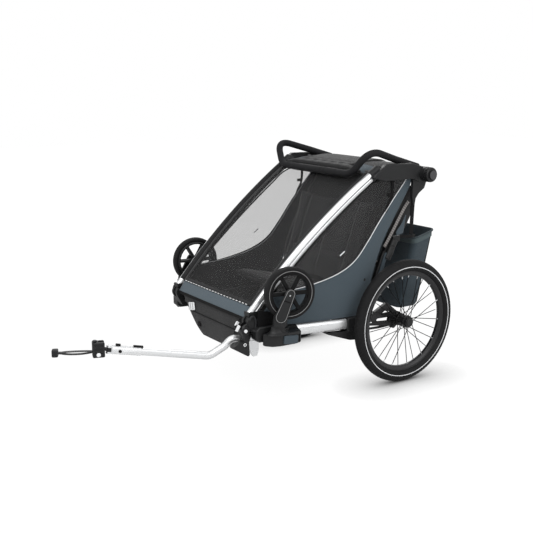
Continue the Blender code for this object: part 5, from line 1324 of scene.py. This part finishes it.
def bagRing(level, inset):
    # A rounded rectangle that widens upwards, with a rim that rises to the rear
    values = cargoBag
    front = 0.088 + 0.052 * level + inset
    rear = 0.196 + 0.054 * level - inset
    rise = values["rise"] * level
    half = (rear - front) / 2
    width = values["halfWidth"] * (0.90 + 0.10 * level) - inset
    ring = fineRing(width, half, 0.022, 7)
    z = values["bottomZ"] + (values["topZ"] - values["bottomZ"] - values["rise"]) * level + rise * ring[:, 1] / half
    return toFrame(ring[:, 0], (front + rear) / 2 + ring[:, 1], z)


def makeCargoBag():
    # Rings from floor to rim; the walls belly out a little lower down and hang in a few slack folds
    levels = np.concatenate([[0.0, 0.012, 0.03, 0.06], np.linspace(0.1, 0.93, 30), [0.955, 0.98, 1.0]])
    grid = np.stack([bagRing(level, 0.0) for level in levels])
    centre = grid.mean(axis=1, keepdims=True)
    outward = unit((grid - centre) * (0.4, 1, 0))
    belly = np.sin(np.pi * np.clip(levels, 0, 1)) ** 0.8
    slack = waves(grid * (1.0, 1.0, 0.45), 0.16, 61)
    grid = grid + outward * (belly[:, None] * (0.0026 * slack - 0.0010))[..., None]
    roundFoot = 1 - 0.035 * (1 - np.clip(levels / 0.06, 0, 1))[:, None, None] ** 2
    grid = centre + (grid - centre) * np.concatenate([np.repeat(roundFoot, 2, axis=2), np.ones_like(roundFoot)],
                                                     axis=2)
    shell = withFloor(grid, grid[:1], (0.02, 0.4, 0.8))
    piece = gridPiece("cargoBagCloth", shell, "bagCloth", wrap=True)
    faceOut(piece)
    thicken(piece, cargoBag["wall"], -1.0)
    pieces = [place(piece, "frame", "slate_fabric", ["cargo_bag"])]
    values = cargoBag
    pieces.append(hem("cargoBagRoll", bagRing(1.0, -values["rollOut"]), circle(values["roll"], 10), "bagEdge",
                      "frame",
                      "slate_fabric"))
    pieces.append(hem("cargoBagHem", bagRing(values["bandLevel"], -0.0012),
                      roundedBox(values["bandHeight"] / 2, 0.0011, 0.0010, 3), "hemCloth", "frame", "slate_fabric"))
    stack = np.stack([bagRing(level, -0.0010) for level in np.linspace(0.05, 0.985, 40)])
    for number, column in enumerate(values["bindings"]):
        across = stack[:, column + 1] - stack[:, column - 1]
        edge = carry(stack[:, column], roundedBox(0.0035, 0.0010, 0.0009, 3), across)
        pieces.append(place(solid("cargoBagBinding_%d" % number, edge, "blackWebbing"), "frame", "slate_fabric"))
    for piece in pieces:
        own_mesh(piece)


makeCargoBag()
print("cargo bag made")


# Safety strap: doubled webbing held out straight ahead, with its buckle

armTip = np.array((0.104, -1.196, 0.266))
armKnee = np.array((0.219, -0.854, 0.211))
strap = {"length": 0.124, "width": 0.020, "turn": 8.0, "setback": 0.0095, "block": 0.044, "pitchPlace": 0.0365,
         "sag": 0.0020, "plies": [(0.0042, 0.0012), (-0.0042, -0.0012)]}


def strapFrame():
    # Where the strap starts, its way forward (the arm's level way, turned a little) and the way of its width
    along = unit(armTip - armKnee)
    level = unit(np.array((along[0], along[1], 0.0)))
    start = armTip + along * strap["pitchPlace"] + level * (strap["block"] - strap["setback"] + 0.0003)
    start = start - np.array((0, 0, 0.008))
    a = -math.radians(strap["turn"])
    ahead = np.array((level[0] * math.cos(a) - level[1] * math.sin(a),
                      level[0] * math.sin(a) + level[1] * math.cos(a), 0.0))
    return toFrame(*start), ahead, unit(np.cross(ahead, (0.0, 0.0, 1.0)))


def makeStrap():
    # Two plies side by side in height, each a flat section carried along a line that sags by a parabola
    start, ahead, across = strapFrame()
    s = np.linspace(0, 1, 40)
    line = start + ahead * (s * strap["length"])[:, None]
    line[:, 2] -= strap["sag"] * 4 * s * (1 - s)
    plies = []
    for offset, bow in strap["plies"]:
        path = line.copy()
        parting = 0.35 + 0.65 * np.sin(np.pi * np.clip(s * 1.15, 0, 1)) ** 0.5
        path[:, 2] += offset * parting + bow * np.sin(np.pi * s)
        plies.append(carry(path, roundedBox(strap["width"] / 2, 0.0009, 0.0008, 3), across))
    webbing = joinShapes("safetyStrapWebbing", [gridShape(ply, loop=False) for ply in plies], "blackWebbing")
    place(webbing, "hitch", "black_fabric", ["safety_strap"])
    end = start + ahead * (strap["length"] + 0.008)
    up = np.array((0.0, 0.0, 1.0))
    ring = roundedBox(0.014, 0.0140, 0.0040, 5)
    rows = [(-0.011, 0.86), (-0.0095, 0.97), (-0.004, 1.0), (0.004, 1.0), (0.0095, 0.95), (0.011, 0.82)]
    grid = np.stack([end + ahead * d + across * ring[:, :1] * k + up * ring[:, 1:] * k * 0.98 for d, k in rows])
    buckle = place(solid("safetyStrapBuckle", grid, "blackPlastic", sharp=30), "hitch", "black_plastic")


makeStrap()
print("strap made")


# Small parts, made on the left and mirrored to the right

def pair(name, body, make, slot=None, replaces=(), swing=False, sides=("left", "right"), **values):
    # A piece for each side, the second with x turned about; a star in the names of body and nodes is the side
    slot = slot or ("black_fabric" if body == "both" else "black_plastic")
    for side in sides:
        piece = make(name + "_" + side, **values)
        points = verticesOf(piece) * (1.0 if side == "left" else -1.0, 1.0, 1.0)
        setVertices(piece, swungOnStem(points, side) if swing else points)
        place(outwards(piece), body.replace("*", side), slot, [node.replace("*", side) for node in replaces])


def sheetBetween(name, lower, upper, x, material, thickness, rows=24, columns=10):
    # Straight lines between two side curves, made a sheet of even thickness
    grid = between(curveThrough(lower, rows), curveThrough(upper, rows), x, x, np.linspace(0, 1, columns), 0.0)
    back = grid - np.array((thickness, 0.0, 0.0))
    piece = gridPiece(name, np.concatenate([grid, back[::-1]]), material, loop=True, sharp=50)
    closeSides(piece)
    return piece


def torus(name, centre, radius, thick, material, steps, shift=0.0):
    # A small circle turned about an axis along X
    return solid(name, turnGrid(circle(thick, 8) + (shift, radius), centre[1:], steps, centre[0]), material,
                 loop=True)


def rod(name, points, radius, material):
    # A circle carried along a smooth line
    return solid(name, carry(toFrame(*curveThrough(points, 40).T), circle(radius, 12), (1, 0, 0)), material)


forkDress = {"low": (-0.6375, 0.3680), "lowRadius": 0.0228, "high": (-0.6000, 0.4520), "highRadius": 0.0172,
             "inner": 0.3793, "outer": 0.3912, "border": 0.0028, "recess": 0.0014, "screwAt": 0.93, "barAt": 0.66}
forkLow, forkHigh = np.array(forkDress["low"]), np.array(forkDress["high"])
forkWay = (forkHigh - forkLow) / np.linalg.norm(forkHigh - forkLow)
strollerHub = (strollerTyre["x"], *strollerTyre["hub"])


def taperedRing(inset, steps=14):
    # Two half circles of different radius joined by their tangents; an inset draws all of it in
    values = forkDress
    r0, r1 = values["lowRadius"] - inset, values["highRadius"] - inset
    along = forkHigh - forkLow
    heading = math.atan2(along[1], along[0])
    lean = math.acos((values["lowRadius"] - values["highRadius"]) / np.linalg.norm(along))
    top = heading + np.linspace(-lean, lean, steps)
    foot = heading + np.linspace(lean, 2 * np.pi - lean, steps)
    return np.vstack([forkHigh + r1 * np.stack([np.cos(top), np.sin(top)], 1),
                      forkLow + r0 * np.stack([np.cos(foot), np.sin(foot)], 1)])


def makeForkPlate(name):
    # Rings of the tapered outline at rising x: a rounded edge, a raised border and a sunk panel; the border's band is
    # pale grey, a painted edge highlight
    values = forkDress
    x0, x1, b, d = values["inner"], values["outer"], values["border"], values["recess"]
    rings = [(x0, 0.0012), (x0 + 0.0010, 0.0), (x1 - 0.0010, 0.0), (x1, 0.0009), (x1, b), (x1 - d, b + 0.0008),
             (x1 - d, b + 0.0022)]
    grid = np.stack([toFrame(x, *taperedRing(inset).T) for x, inset in rings])
    face = np.zeros((len(rings) - 1, grid.shape[1]), int)
    face[3] = 1
    return solid(name, grid, "blackPlastic edgeGrey", faceMaterial=face.ravel(), sharp=30)


casterFace = {"spokes": 6, "spokeHalf": 0.0068, "spokeX": 0.0075, "spokeDepth": 0.0045, "ringRadius": 0.0858,
              "ring": 0.0012, "ringShift": 0.0163, "innerRadius": 0.0705,
              "rim": [(0.0100, 0.0705), (0.0145, 0.0712), (0.0160, 0.0760), (0.0166, 0.0878), (0.0140, 0.0886),
                      (0.0100, 0.0840)],
              "boss": [(0.0040, 0.004), (0.0040, 0.0190), (0.0135, 0.0180), (0.0150, 0.0160), (0.0150, 0.004)]}


def makeCasterFace(name):
    # A sunk rim face, six broad spokes and the hub boss, all turned about the stroller wheel's axle
    values = casterFace
    x, y, z = strollerHub
    rim = turnGrid(np.array(values["rim"]), (y, z), 96, x)
    boss = turnGrid(np.array(values["boss"]), (y, z), 40, x)
    shapes = [gridShape(rim), gridShape(np.swapaxes(boss, 0, 1), loop=False)]
    ring = roundedBox(values["spokeHalf"], values["spokeDepth"], 0.0025, 4)
    middle, ahead = toFrame(x + values["spokeX"], y, z), np.array((1.0, 0, 0))
    for a in 2 * np.pi * np.arange(values["spokes"]) / values["spokes"]:
        out, side = np.array((0, math.cos(a), math.sin(a))), np.array((0, -math.sin(a), math.cos(a)))
        shapes.append(gridShape(np.stack([
            middle + out * s + side * ring[:, :1] * (1.15 - 4.0 * s * (1 - s / 0.075)) + ahead * ring[:, 1:]
            for s in np.linspace(0.012, values["innerRadius"] + 0.003, 8)]), loop=False))
    return joinShapes(name, shapes, "matteBlack")


railSock = {"from": -0.612, "to": -0.518, "grow": 0.0022, "slant": 0.39}


def makeRailSock(name):
    # The rail's own oval a little larger, its rear end cut on a slant
    values = railSock
    y = np.linspace(values["from"], values["to"], 14)
    z = np.interp(y, [sideRail["front"][0], sideRail["rear"][0]], [sideRail["front"][1], sideRail["rear"][1]])
    section = ovalSection(sideRail["height"], sideRail["width"], 40, values["grow"])
    grid = carry(toFrame(sideRail["x"], y, z), section, (1, 0, 0))
    middle = grid[..., 2].mean(axis=1, keepdims=True)
    grid[..., 1] += (middle - grid[..., 2]) * values["slant"] * np.linspace(0, 1, 14)[:, None]
    return solid(name, grid, "matteBlack", sharp=50)


hubRibs = {"ribs": 28, "radius": 0.0293, "reach": 0.0140, "x": 0.356, "thick": 0.0011}


def makeHubRibs(name):
    # Short bars at equal angles round the cap
    values = hubRibs
    angle = 2 * np.pi * np.arange(values["ribs"]) / values["ribs"]
    y, z = handlebar["hub"]
    r = values["radius"]
    starts = toFrame(values["x"] + 0 * angle, y + r * np.cos(angle), z + r * np.sin(angle))
    vertices, faces = bars(starts, starts + (values["reach"], 0, 0), values["thick"], 6)
    return outwards(finishMesh(name, vertices, faces, materials="matteBlack"))


def makeTubeCuff(name, share):
    # The upper tube's own oval a little larger, over a share of its length
    section = ovalSection(upperTube["height"], upperTube["width"], 40, 0.0030)
    return solid(name, carry(tubeLine(np.linspace(*share, 10)), section, (1, 0, 0)), "blackPlastic", sharp=50)


def screw(radius, reach=0.0012):
    # A flat round head with a broken edge
    return [(0.0, 0.001), (0.0, radius), (reach, radius - 0.0006), (reach + 0.0002, 0.001)]


armSide = ("left",)
sleeveRadius, sleeveLength = 0.0155, 0.086
smallParts = {
    # Each part's body ("both" is cloth that keeps its place, attached to neither frame), its tool and the tool's
    # values
    "rearTape": ("both", ribbon, dict(
        points=[(0.2905, 0.058, 0.731), (0.2905, 0.032, 0.700), (0.2905, -0.018, 0.624), (0.2905, -0.046, 0.582),
                (0.2900, -0.066, 0.554)],
        width=0.0150, thickness=0.0018, across=(0, 0.82, -0.57), material="ribbedTape", count=60)),
    "pullTab": ("both", sheetBetween, dict(
        lower=[(0.0430, 0.6765), (0.0236, 0.6442), (-0.0036, 0.6134), (-0.0044, 0.5951)],
        upper=[(0.0460, 0.6765), (0.0405, 0.6510), (0.0365, 0.6250), (0.0316, 0.6015)],
        x=0.2935, material="slateCloth", thickness=0.0016, slot="slate_fabric")),
    "rearCorner": ("both", sheetBetween, dict(
        lower=[(0.0380, 0.8019), (0.0120, 0.7248), (-0.0230, 0.6572), (-0.0450, 0.5933)],
        upper=[(0.0850, 0.7932), (0.0830, 0.7347), (0.0800, 0.6719), (0.0391, 0.6041)],
        x=0.2810, material="blackCloth", thickness=0.0016)),
    "dropStrap": ("both", ribbon, dict(
        points=[(0.283, 0.0950, 0.765), (0.283, 0.0945, 0.741), (0.283, 0.0900, 0.712), (0.283, 0.0868, 0.641),
                (0.282, 0.0860, 0.590)],
        width=0.0210, thickness=0.0016, across=(0, 1, 0), material="matteBlack", count=40)),
    "levelStrap": ("both", ribbon, dict(
        points=[(0.286, 0.010, 0.5885), (0.284, 0.060, 0.584), (0.276, 0.100, 0.580), (0.256, 0.134, 0.577)],
        width=0.0125, thickness=0.0016, across=(0, 0, 1), material="matteBlack", count=30)),
    "strapLock": ("both", block, dict(
        centre=(0.285, 0.0955, 0.752), half=(0.0030, 0.0085, 0.0065), corner=0.002, material="capGrey")),
    "tabLink": ("strut_frame", block, dict(
        centre=(0.2885, -0.002, 0.581), half=(0.0052, 0.0185, 0.0125), corner=0.003, material="blackPlastic",
        reference=(0, 0.97, 0.10))),
    "strutSleeve": ("strut_frame", lathe, dict(
        profile=[(0.0, 0.004), (0.0, sleeveRadius - 0.002), (0.002, sleeveRadius), (0.026, sleeveRadius),
                 (0.0275, sleeveRadius - 0.0016), (0.031, sleeveRadius - 0.0016), (0.0325, sleeveRadius),
                 (sleeveLength - 0.002, sleeveRadius), (sleeveLength, sleeveRadius - 0.003), (sleeveLength, 0.004)],
        centre=(0.289, -0.011, 0.577), axis=(0.0, -0.46, -0.888), material="blackPlastic", steps=32)),
    "windowStrap": ("both", ribbon, dict(
        points=[(0.3108, -0.0505, 0.8325), (0.3108, -0.0482, 0.7959), (0.3105, -0.0536, 0.7558),
                (0.3102, -0.0685, 0.7286), (0.3102, -0.0820, 0.7000)],
        width=0.0125, thickness=0.0014, across=(0, 1, 0), material="matteBlack", count=40)),
    "windowLock": ("both", block, dict(
        centre=(0.3118, -0.0640, 0.7690), half=(0.0014, 0.0105, 0.0065), corner=0.002, material="matteBlack")),
    "windowTag": ("both", ribbon, dict(
        points=[(0.3106, -0.3120, 0.5480), (0.3106, -0.2890, 0.5630)], width=0.0045, thickness=0.0012,
        across=(0, -0.5, 0.85), material="whitePlastic", count=6, slot="slate_fabric")),
    "panelSnap": ("both", lathe, dict(
        profile=[(0.0, 0.002), (0.0, 0.0075), (0.0012, 0.0078), (0.0024, 0.0060), (0.0028, 0.002)],
        centre=(0.3105, -0.1860, 0.4360), material="blackPlastic", steps=32)),
    "forkPlate": ("fork_*", makeForkPlate, dict(swing=True)),
    "forkScrew": ("fork_*", lathe, dict(
        profile=[(0.0, 0.001), (0.0, 0.0032), (0.0012, 0.0028), (0.0014, 0.001)], material="brightSteel", steps=24,
        centre=(forkDress["outer"] - 0.0012, *(forkLow + (forkHigh - forkLow) * forkDress["screwAt"])), swing=True)),
    "forkBar": ("fork_*", block, dict(
        centre=(forkDress["outer"] - 0.0006, *(forkLow + (forkHigh - forkLow) * forkDress["barAt"])),
        half=(0.0012, 0.0150, 0.0020), corner=0.0008, material="matteBlack", reference=(0, forkWay[1], -forkWay[0]),
        swing=True)),
    "casterFace": ("stroller_wheel_*", makeCasterFace, dict(swing=True)),
    # A thin pale grey ring round the stroller wheel's face: a painted highlight on the edge of the tyre's face
    "casterRing": ("stroller_wheel_*", torus, dict(
        centre=strollerHub, radius=casterFace["ringRadius"], thick=casterFace["ring"], shift=casterFace["ringShift"],
        material="edgeGrey", steps=120, slot="tyre_rubber", swing=True)),
    "forkNeck": ("fork_*", lathe, dict(
        profile=[(0.0, 0.010), (0.0, 0.0288), (0.004, 0.0284), (0.020, 0.0268), (0.034, 0.0246), (0.042, 0.021),
                 (0.042, 0.010)],
        centre=(0.3680, -0.6350, 0.3290), axis=(0, 0, 1), material="blackPlastic", steps=48, squash=0.80,
        reference=(0, 1, 0), swing=True)),
    "stemFlare": ("frame", lathe, dict(
        profile=[(-0.004, 0.020), (-0.004, 0.0480), (0.0, 0.0490), (0.002, 0.0470), (0.005, 0.0385), (0.013, 0.0318),
                 (0.024, 0.0290), (0.0305, 0.0278), (0.0318, 0.020)],
        centre=(0.3580, -0.6390, 0.2985), axis=(0, 0, 1), material="blackPlastic", steps=56, squash=0.62,
        reference=(0, 1, 0))),
    "bracketKey": ("bracket_button_*", block, dict(
        centre=(0.3845, -0.5985, 0.2735), half=(0.0048, 0.0315, 0.0155), corner=0.004, material="slatePlastic",
        reference=(0, 1, -0.10), slot="slate_plastic", replaces=["bracket_button_*"])),
    "railSock": ("frame", makeRailSock, {}),
    "knuckleWeb": ("frame", sheetBetween, dict(
        lower=[(-0.702, 0.3080), (-0.662, 0.3030), (-0.618, 0.3000)],
        upper=[(-0.7000, 0.3840), (-0.6755, 0.3795), (-0.6180, 0.3640)], x=0.3165, material="matteBlack",
        thickness=0.0030)),
    # The tow arm's clips, locking pin and ring sit on one side only
    "frontClip0": ("frame", block, dict(
        centre=(0.2690, -0.7640, 0.3330), half=(0.0030, 0.0060, 0.0095), corner=0.003, material="whitePlastic",
        reference=(0, 0.85, -0.52), sides=armSide)),
    "frontClip1": ("frame", block, dict(
        centre=(0.2925, -0.7743, 0.3225), half=(0.0030, 0.0055, 0.0125), corner=0.003, material="whitePlastic",
        reference=(0, 0.85, -0.52), sides=armSide)),
    "clipArm": ("frame", block, dict(
        centre=(0.2805, -0.7600, 0.3215), half=(0.0125, 0.0140, 0.0055), corner=0.003, material="matteBlack",
        reference=(0, 0.94, -0.34), sides=armSide)),
    "pinBoss": ("frame", lathe, dict(
        profile=[(-0.012, 0.004), (-0.012, 0.0175), (-0.001, 0.0175), (0.0, 0.0165), (0.0, 0.0125), (-0.0015, 0.0120),
                 (-0.0015, 0.004)],
        centre=(0.3070, -0.7486, 0.3107), material="blackPlastic", steps=36, sides=armSide)),
    "pinHead": ("frame", lathe, dict(
        profile=[(-0.004, 0.002), (-0.004, 0.0068), (0.002, 0.0068), (0.0032, 0.0056), (0.0034, 0.002)],
        centre=(0.3070, -0.7486, 0.3107), material="whitePlastic", steps=28, sides=armSide)),
    "pinRing": ("frame", torus, dict(
        centre=(0.2958, -0.7448, 0.2541), radius=0.0052, thick=0.0014, material="whitePlastic", steps=28,
        sides=armSide)),
    "footEar": ("upper_frame", rod, dict(
        points=[(0.3030, -0.7279, 0.3480), (0.3035, -0.7240, 0.3590), (0.3040, -0.7160, 0.3625),
                (0.3040, -0.7070, 0.3560), (0.3040, -0.7020, 0.3420), (0.3035, -0.7030, 0.3170)],
        radius=0.0036, material="capGrey")),
    "plateField": ("upper_frame", block, dict(
        centre=(0.3219, -0.0060, 0.8610), half=(0.0008, 0.0780, 0.0190), corner=0.012, material="blackPlastic",
        reference=(0, 1, -0.06))),
    "plateScrew0": ("upper_frame", lathe, dict(
        profile=screw(0.0050), centre=(0.3208, -0.1180, 0.8480), material="capGrey", steps=24)),
    "plateScrew1": ("upper_frame", lathe, dict(
        profile=screw(0.0050), centre=(0.3208, 0.0800, 0.8420), material="capGrey", steps=24)),
    "capRibs": ("upper_frame", makeHubRibs, {}),
    "capDisc": ("upper_frame", lathe, dict(
        profile=[(0.0, 0.001), (0.0, 0.0185), (0.0008, 0.0177), (0.0010, 0.001)],
        centre=(0.3822, *handlebar["hub"]), material="discGrey", steps=40)),
    "tubeCuff": ("upper_frame", makeTubeCuff, dict(share=(0.918, 0.976))),
}


frontTrim = {"tag": (-0.1440, -0.7270, 0.3050), "tagHalf": (0.0012, 0.0235, 0.0165),
             "buckle": (-0.1020, -0.7150, 0.2370),
             "buckleHalf": (0.0030, 0.0090, 0.0110), "barHalf": (0.0010, 0.0018, 0.0150), "barShift": 0.009,
             "slope": 0.22, "seam": 0.66}


def makeFrontTrim():
    # A pale loop and a buckle on the tub's face, and the seam that runs across it
    values = frontTrim
    lie = dict(axis=(0, -1, 0), reference=(1, 0, values["slope"]))
    place(block("frontTag", values["tag"], values["tagHalf"], 0.003, "whitePlastic", **lie), "frame", "slate_fabric")
    for number, shift in enumerate((-values["barShift"], values["barShift"])):
        spot = np.array(values["tag"]) + (shift, -0.0009, shift * values["slope"])
        place(block("frontTagBar_%d" % number, spot, values["barHalf"], 0.0008, "edgeGrey", **lie), "frame",
              "slate_fabric")
    place(block("frontBuckle", values["buckle"], values["buckleHalf"], 0.003, "matteBlack", **lie), "frame",
          "black_plastic")
    ring = tubRing(values["seam"], -0.0006)
    ring = ring[ring[:, 1] < ring[:, 1].min() + 0.035]
    ring = ring[np.argsort(ring[:, 0])]
    seam = carry(evenly(ring, 60), roundedBox(0.0018, 0.0009, 0.0007, 3), (0, 0, 1))
    place(solid("footwellSeam", seam, "matteBlack"), "frame", "black_fabric")


gripSeam = {"x": (0.052, 0.077), "profile": [(-0.0010, 0.0120), (-0.0010, 0.0162), (0.0010, 0.0162),
                                             (0.0010, 0.0120)]}


def makeGripSeams():
    # Two thin rings round the crossbar
    for number, x in enumerate(gripSeam["x"]):
        place(lathe("gripSeam_%d" % number, gripSeam["profile"], (x, *handlebar["cross"]), "matteBlack", steps=36),
              "handlebar", "grip_foam")


hitchTrim = {"bolt": 0.0280, "boltOut": 0.0192, "boltRadius": 0.0064, "hole": (0.0135, -0.0165, 0.0198),
             "holeRadius": 0.0076, "catches": [(0.0200, 0.0090, 0.0045), (0.0940, 0.0180, 0.0035)]}


def makeHitchTrim():
    # Two bolt caps and two catches on the sleeve, and the pale bush of the hole through the hitch block
    values = hitchTrim
    along = unit(armTip - armKnee)
    across = unit(np.cross(along, (0.0, 0.0, 1.0)))
    up = unit(np.cross(across, along))
    level = unit(np.array((along[0], along[1], 0.0)))
    ahead, drop, out = values["hole"]
    middle = armTip + along * strap["pitchPlace"] + level * ahead + np.array((0.0, 0.0, drop))
    cap = [(0.0, 0.001), (0.0, values["boltRadius"]), (0.0012, values["boltRadius"] - 0.0006), (0.0016, 0.001)]
    r = values["holeRadius"]
    bush = [(0.0, r - 0.0030), (0.0, r), (0.0010, r), (0.0014, r - 0.0008), (0.0014, r - 0.0030)]
    for number, side in enumerate((1, -1)):
        spot = armTip - along * values["bolt"] + across * side * values["boltOut"]
        place(lathe("sleeveBoltCap_%d" % number, cap, spot, "matteBlack", across * side), "frame", "black_plastic")
        place(lathe("hitchBush_%d" % number, bush, middle + across * side * out, "whitePlastic", across * side, 32),
              "hitch", "black_plastic")
    for number, (back, half, height) in enumerate(values["catches"]):
        spot = armTip - along * back + up * (0.0158 + height / 2)
        place(block("sleeveCatch_%d" % number, spot, (height, half, 0.0060), 0.0016, "matteBlack", up, along),
              "frame",
              "black_plastic")


makeHitchTrim()
for name, (body, make, values) in smallParts.items():
    pair(name, body, make, **values)
makeFrontTrim()
makeGripSeams()
print("small parts made")


# Floor and light

stage = {"size": 12.0, "near": 0.9, "far": 2.4, "glow": 0.96, "shadow": 0.07, "reach": 0.17, "depth": 1.7}


def makeStage():
    # Seen by the camera the floor is near white and keeps only a light shadow, and fades to full white further off
    values = stage
    size = values["size"]
    mesh = bpy.data.meshes.new("floor")
    mesh.from_pydata([(-size, -size, 0), (size, -size, 0), (size, size, 0), (-size, size, 0)], [], [(0, 1, 2, 3)])
    floor = bpy.data.objects.new("floor", mesh)
    bpy.context.scene.collection.objects.link(floor)
    material = bpy.data.materials.new("floorPaint")
    material.use_nodes = True
    tree = material.node_tree
    tree.nodes.clear()
    rays = shade(material, "LightPath")
    direct = mathOf(material, "MAXIMUM", rays.outputs["Is Camera Ray"], rays.outputs["Is Transmission Ray"])
    distance = shade(material, "VectorMath", {0: shade(material, "TexCoord").outputs["Object"]}, operation="LENGTH")
    fade = shade(material, "MapRange", {"Value": distance.outputs["Value"], "From Min": values["near"],
                                        "From Max": values["far"], "To Min": values["glow"], "To Max": 1.0},
                 interpolation_type="SMOOTHSTEP")
    # The soft shadow where a wheel stands: how much of the sky its nearness hides, within the reach given
    openness = shade(material, "AmbientOcclusion", {"Distance": values["reach"]}, samples=16).outputs["AO"]
    level = mathOf(material, "MULTIPLY", fade.outputs[0], mathOf(material, "POWER", openness, values["depth"]))
    glow = shade(material, "Emission", {"Color": (1, 1, 1, 1), "Strength": level})
    seen = shade(material, "BsdfDiffuse", {"Color": (values["shadow"],) * 3 + (1,)})
    both = shade(material, "AddShader", {0: glow.outputs[0], 1: seen.outputs[0]})
    plain = shade(material, "BsdfDiffuse", {"Color": (0.86, 0.86, 0.86, 1)})
    either = shade(material, "MixShader", {0: direct, 1: plain.outputs[0], 2: both.outputs[0]})
    out = shade(material, "OutputMaterial")
    tree.links.new(either.outputs[0], out.inputs["Surface"])
    mesh.materials.append(material)


def makeWorld():
    # The world is pure white for the camera, for mirrors and through films, and dimmer as a light
    world = bpy.data.worlds.new("studio")
    bpy.context.scene.world = world
    world.use_nodes = True
    background = world.node_tree.nodes["Background"]
    rays = shade(world, "LightPath").outputs
    seen = mathOf(world, "MAXIMUM", mathOf(world, "MAXIMUM", rays["Is Camera Ray"], rays["Is Glossy Ray"]),
                  rays["Is Transmission Ray"])
    level = shade(world, "MapRange", {"Value": seen, "To Min": studio["worldLight"], "To Max": 1.0})
    linkTo(world, level.outputs[0], background, "Strength")
    background.inputs["Color"].default_value = (1, 1, 1, 1)


studio = {"worldLight": 0.55,
          "lamps": [("keyLamp", (1.6, -1.8, 3.4), (0.0, 0.1, 0.4), 2.6, 95.0),
                    ("fillLamp", (3.6, 1.6, 2.2), (0.0, 0.2, 0.4), 2.4, 42.0),
                    ("backLamp", (-2.6, 2.4, 2.8), (0.0, 0.2, 0.5), 2.2, 40.0)]}


def makeLamps():
    # Square area lamps, each turned so that it looks at its aim
    for name, spot, aim, size, power in studio["lamps"]:
        lamp = bpy.data.lights.new(name, "AREA")
        lamp.shape = "SQUARE"
        lamp.size = size
        lamp.energy = power
        holder = bpy.data.objects.new(name, lamp)
        bpy.context.scene.collection.objects.link(holder)
        holder.location = spot
        direction = np.array(aim) - np.array(spot)
        flat = math.hypot(direction[0], direction[1])
        heading = math.atan2(direction[1], direction[0]) - math.pi / 2
        holder.rotation_euler = (math.atan2(flat, -direction[2]), 0.0, heading)


makeStage()
makeWorld()
makeLamps()
bpy.context.scene.view_settings.view_transform = "Standard"
print("stage set")
